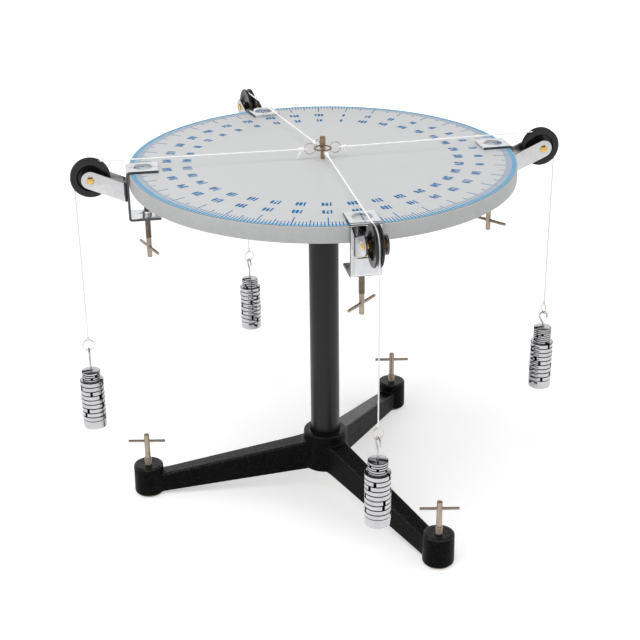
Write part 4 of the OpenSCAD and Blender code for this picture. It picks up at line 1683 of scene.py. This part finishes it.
@dataclass
class Stand:
    """The cast tripod, the column, the flange and the table top."""

    legs: tuple = (52.5, 172.5, 292.5)
    hub_z: float = 26.0
    hub_top: float = 69.5
    hub_r: float = 24.25
    hub_draft: float = 2.0
    socket_z: float = 35.0
    socket_r: float = 16.3
    column_r: float = 16.0
    column_top: float = 369.95
    bolt_r: float = 5.05
    foot_r: float = 201.0
    boss_z: float = 2.0
    boss_top: float = 36.0
    boss_r: float = 16.5
    boss_draft: float = 0.25
    level_r: float = 4.05
    leg_start: float = 20.25
    leg_end: float = 192.75
    leg_w: tuple = (24.0, 18.0)
    leg_depth: tuple = (36.0, 21.9)
    leg_top: tuple = (62.5, 24.0)
    leg_round: float = 1.8
    leg_steps: int = 60
    leg_sides: int = 32
    flare: float = 1.6
    far_flare: float = 0.6
    top_flare: float = 0.2
    flare_reach: float = 3.5
    voxel: float = 1.0
    smoothing: tuple = (0.5, 3)
    ridge_span: tuple = (0.03, 0.12)
    ridge_passes: int = 2
    ridge_tilt: tuple = (-0.0625, 0.5625)
    level_tilt: tuple = (0.45, 0.80)
    table_r: float = 200.0
    rim_z: float = 370.0
    rim_top: float = 386.4
    pin_hole: tuple = (2.35, 373.0)
    flange_bore: float = 16.05
    flange_r: float = 48.0
    flange_t: float = 7.0
    flange_top: float = 369.98
    collar_r: float = 24.0
    collar_h: float = 24.0

    def leg(self) -> Patch:
        """A leg along X: a section with round corners whose width, depth and top change evenly along it.

        Near the hub and the boss its width grows by flare exp(-distance / reach), as a cast fillet does.

        Returns:
            The leg.
        """
        x = np.linspace(self.leg_start, self.leg_end, self.leg_steps)[:, None]
        ends = x - self.hub_r, self.foot_r - self.boss_r - x
        near, far = (np.exp(-np.maximum(gap, 0) / self.flare_reach) for gap in ends)
        grow = self.flare * (near + self.far_flare * far)
        spans = self.leg_w, self.leg_depth, self.leg_top
        w, depth, top = (start + (end - start) * x / self.leg_end for start, end in spans)
        half_w, half_d = (w + grow) / 2 - self.leg_round, depth / 2 - self.leg_round
        a = around(self.leg_sides) + np.pi / self.leg_sides
        y = np.sign(np.cos(a)) * half_w + self.leg_round * np.cos(a)
        z = top + self.top_flare * grow - depth / 2 + np.sign(np.sin(a)) * half_d + self.leg_round * np.sin(a)
        return tube(np.stack([x + 0 * a, y, z], -1))

    def tripod(self) -> Patch:
        """The casting: hub, legs and bosses run together, then softened so that they meet in fillets.

        Returns:
            The casting.
        """
        hub = turned([(self.bolt_r, self.hub_z, 0), (self.hub_r + self.hub_draft, self.hub_z, 2.0),
                      (self.hub_r, self.hub_top, 1.4), (self.socket_r, self.hub_top, 0.5),
                      (self.socket_r, self.socket_z, 0), (self.bolt_r, self.socket_z, 0)], 144, closed=True)
        boss = turned([(self.level_r, self.boss_z, 0), (self.boss_r + self.boss_draft, self.boss_z, 1.6),
                       (self.boss_r, self.boss_top, 1.8), (self.level_r, self.boss_top, 0.4)], closed=True)
        arm = self.leg() + boss.placed(shift=(self.foot_r, 0, 0))
        mesh = new_mesh("casting", joined([hub] + [arm.placed(about_z(math.radians(a))) for a in self.legs]))
        with edited(mesh) as shape:
            bmesh.ops.recalc_face_normals(shape, faces=shape.faces)
        return evaluated(mesh, self.soften)

    def soften(self, holder: bpy.types.Object) -> None:
        """Adds the modifiers that run the casting's forms together and round its edges.

        Args:
            holder: the object that gets them.
        """
        remesh = holder.modifiers.new("cast", "REMESH")
        remesh.mode, remesh.voxel_size = "VOXEL", self.voxel
        smooth = holder.modifiers.new("fillets", "SMOOTH")
        smooth.factor, smooth.iterations = self.smoothing

    def wear(self, mesh: bpy.types.Mesh) -> None:
        """Writes two masks: a painted highlight, 1 on upturned edges, and "level", 1 on faces that look up.

        A point's height over the mean of its neighbours, along its normal, tells how sharply the surface
        bends there. The highlight mask is that height mapped over a span, times how far the normal points up,
        so that the painted highlight lies on edges that face the light from above.

        Args:
            mesh: the casting, with even faces.
        """
        points, normals = rows_of(mesh.vertices, "co") / MM, rows_of(mesh.vertices, "normal")
        edges = rows_of(mesh.edges, "vertices", 2, np.int32)
        here, there = np.concatenate([edges, edges[:, ::-1]]).T
        count = len(points)
        degree = np.maximum(np.bincount(here, minlength=count), 1)

        def nearby(values: Array) -> Array:
            """Means of a value over each point's neighbours."""
            return np.bincount(here, values[there], count) / degree

        middle = np.stack([nearby(column) for column in points.T], 1)
        height = ((points - middle) * normals).sum(1)
        for _ in range(self.ridge_passes):
            height = (height + nearby(height)) / 2
        up = normals[:, 2]
        # Painted highlight on convex edges that face up, where the overhead light would catch them
        ridge, level = rise(height, self.ridge_span) * rise(up, self.ridge_tilt), rise(up, self.level_tilt)
        for key, mask in (("ridge", ridge), ("level", level)):
            mesh.attributes.new(key, "FLOAT", "POINT").data.foreach_set("value", mask.astype(np.float32))

    def build(self) -> None:
        """Makes the casting, the column, the flange and the table top, and dresses their screws."""
        casting = put("cast_tripod", self.tripod(), CAST_PAINT, "stand", "cast_base", "tripod_base")
        self.wear(casting.data)
        column = rod(self.column_r, self.socket_z, self.column_top, (0.8, 0.8), 128)
        put("round_column", column, SATIN_BLACK, "stand", "black_paint", "column")
        plate_z = self.rim_z - self.flange_t
        low = plate_z - self.collar_h
        flange = turned([(self.flange_bore, low, 0.5), (self.collar_r, low, 1.5),
                         (self.collar_r, plate_z, 3.0), (self.flange_r, plate_z, 1.2),
                         (self.flange_r, self.flange_top, 0.4), (self.flange_bore, self.flange_top, 0)],
                        closed=True)
        put("table_flange", flange, SATIN_BLACK, "stand", "black_paint", "top_flange")
        board = drilled(self.table_r, self.rim_z, self.rim_top, (1.4, 0.5, 0), self.pin_hole, 360)
        put("table_board", board, BOARD_PAINT, "stand", "table_board", "table_top")
        for node in ("column_bolt", "flange_screws"):
            frame["nodes"][node].data.materials.clear()
            frame["nodes"][node].data.materials.append(NICKEL.material())


@dataclass
class LevelFoot:
    """A levelling screw with its cross bar, and the disc that it stands on.

    A rod is its radius, low end and high end, the bar its length, diameter, angle and height, the thread its
    core, crest, pitch, low end, high end and sides, and the seat the radius and the end of the disc's hole.
    """

    plain: tuple = (3.05, 43.4, 73.5)
    bar: tuple = (41.0, 3.2, -12.5, 65.0)
    thread: tuple = (3.72, 4.0, 1.25, 1.9, 44.0, 40)
    tip: tuple = (2.95, 0.91, 2.3)
    disc: tuple = (14.0, 0, 1.8)
    seat: tuple = (3.05, 0.81)

    def build(self, number: int) -> None:
        """Makes one levelling screw and its disc.

        Args:
            number: of the foot.
        """
        at = spot(f"level_turn_{number}") * (1, 1, 0)
        handle = rod(*self.plain, (0, 0.6)) + cross_bar(*self.bar)
        thread = threaded(*self.thread) + rod(*self.tip, sides=32)
        disc = drilled(*self.disc, (0.4, 0.6, 0.2), self.seat, 72)
        screw, foot = f"level_screw_{number}", f"level_foot_{number}"
        put(f"level_handle_{number}", handle.placed(shift=at), NICKEL, screw, "nickel", screw)
        put(f"level_thread_{number}", thread.placed(shift=at), NICKEL, screw, "nickel")
        put(f"level_disc_{number}", disc.placed(shift=at), NICKEL, foot, "nickel", foot)


@dataclass
class CentrePiece:
    """The removable pin at the middle of the table and the ring round it."""

    low_z: float = 373.1
    low_r: float = 2.3
    step_z: float = 399.5
    up_r: float = 3.0
    up_z: float = 411.0
    ring_r: float = 8.9
    ring_wire: float = 1.4

    def build(self) -> None:
        """Makes the pin and the ring."""
        pin = turned([(0, self.low_z, 0), (self.low_r, self.low_z, 0.3), (self.low_r, self.step_z, 0.2),
                      (self.up_r, self.step_z, 0.3), (self.up_r, self.up_z, 0.8), (0, self.up_z, 0)], 48)
        put("stepped_pin", pin, PIN_METAL, "centre_pin", "pin_metal", "centre_pin")
        loop = np.insert(circle(self.ring_r, 96), 2, spot("centre_ring_turn")[2], axis=1)
        ring = carried(loop, UP, circle(self.ring_wire / 2, 18), closed=True)
        put("wire_ring", ring, DARK_WIRE, "centre_ring", "ring_wire", "centre_ring")


def main() -> None:
    """Sets the studio, then builds the strings and every other piece."""
    logging.basicConfig(level=logging.INFO, format="%(name)s: %(message)s")
    Studio().build()
    stations = [
        Station(1, bar_turn=-55, slot_turn=-102, small_count=7, tail=5.0),
        Station(2, bar_turn=30, slot_turn=160, small_count=4, tail=2.5),
        Station(3, bar_turn=-69, slot_turn=81, small_count=4, tail=8.0),
        Station(4, bar_turn=-46, slot_turn=-12, small_count=5, tail=2.0),
    ]
    for station in stations:
        StringLine().build(station)
    for assembly in (Stand(), Dial(), CentrePiece()):
        assembly.build()
    for number in (1, 2, 3):
        LevelFoot().build(number)
    for station in stations:
        for assembly in (RimClamp(), Pulley(), ClampScrew(), WeightSet()):
            assembly.build(station)
    log.info("boxes noted")


if __name__ == "__main__":
    main()
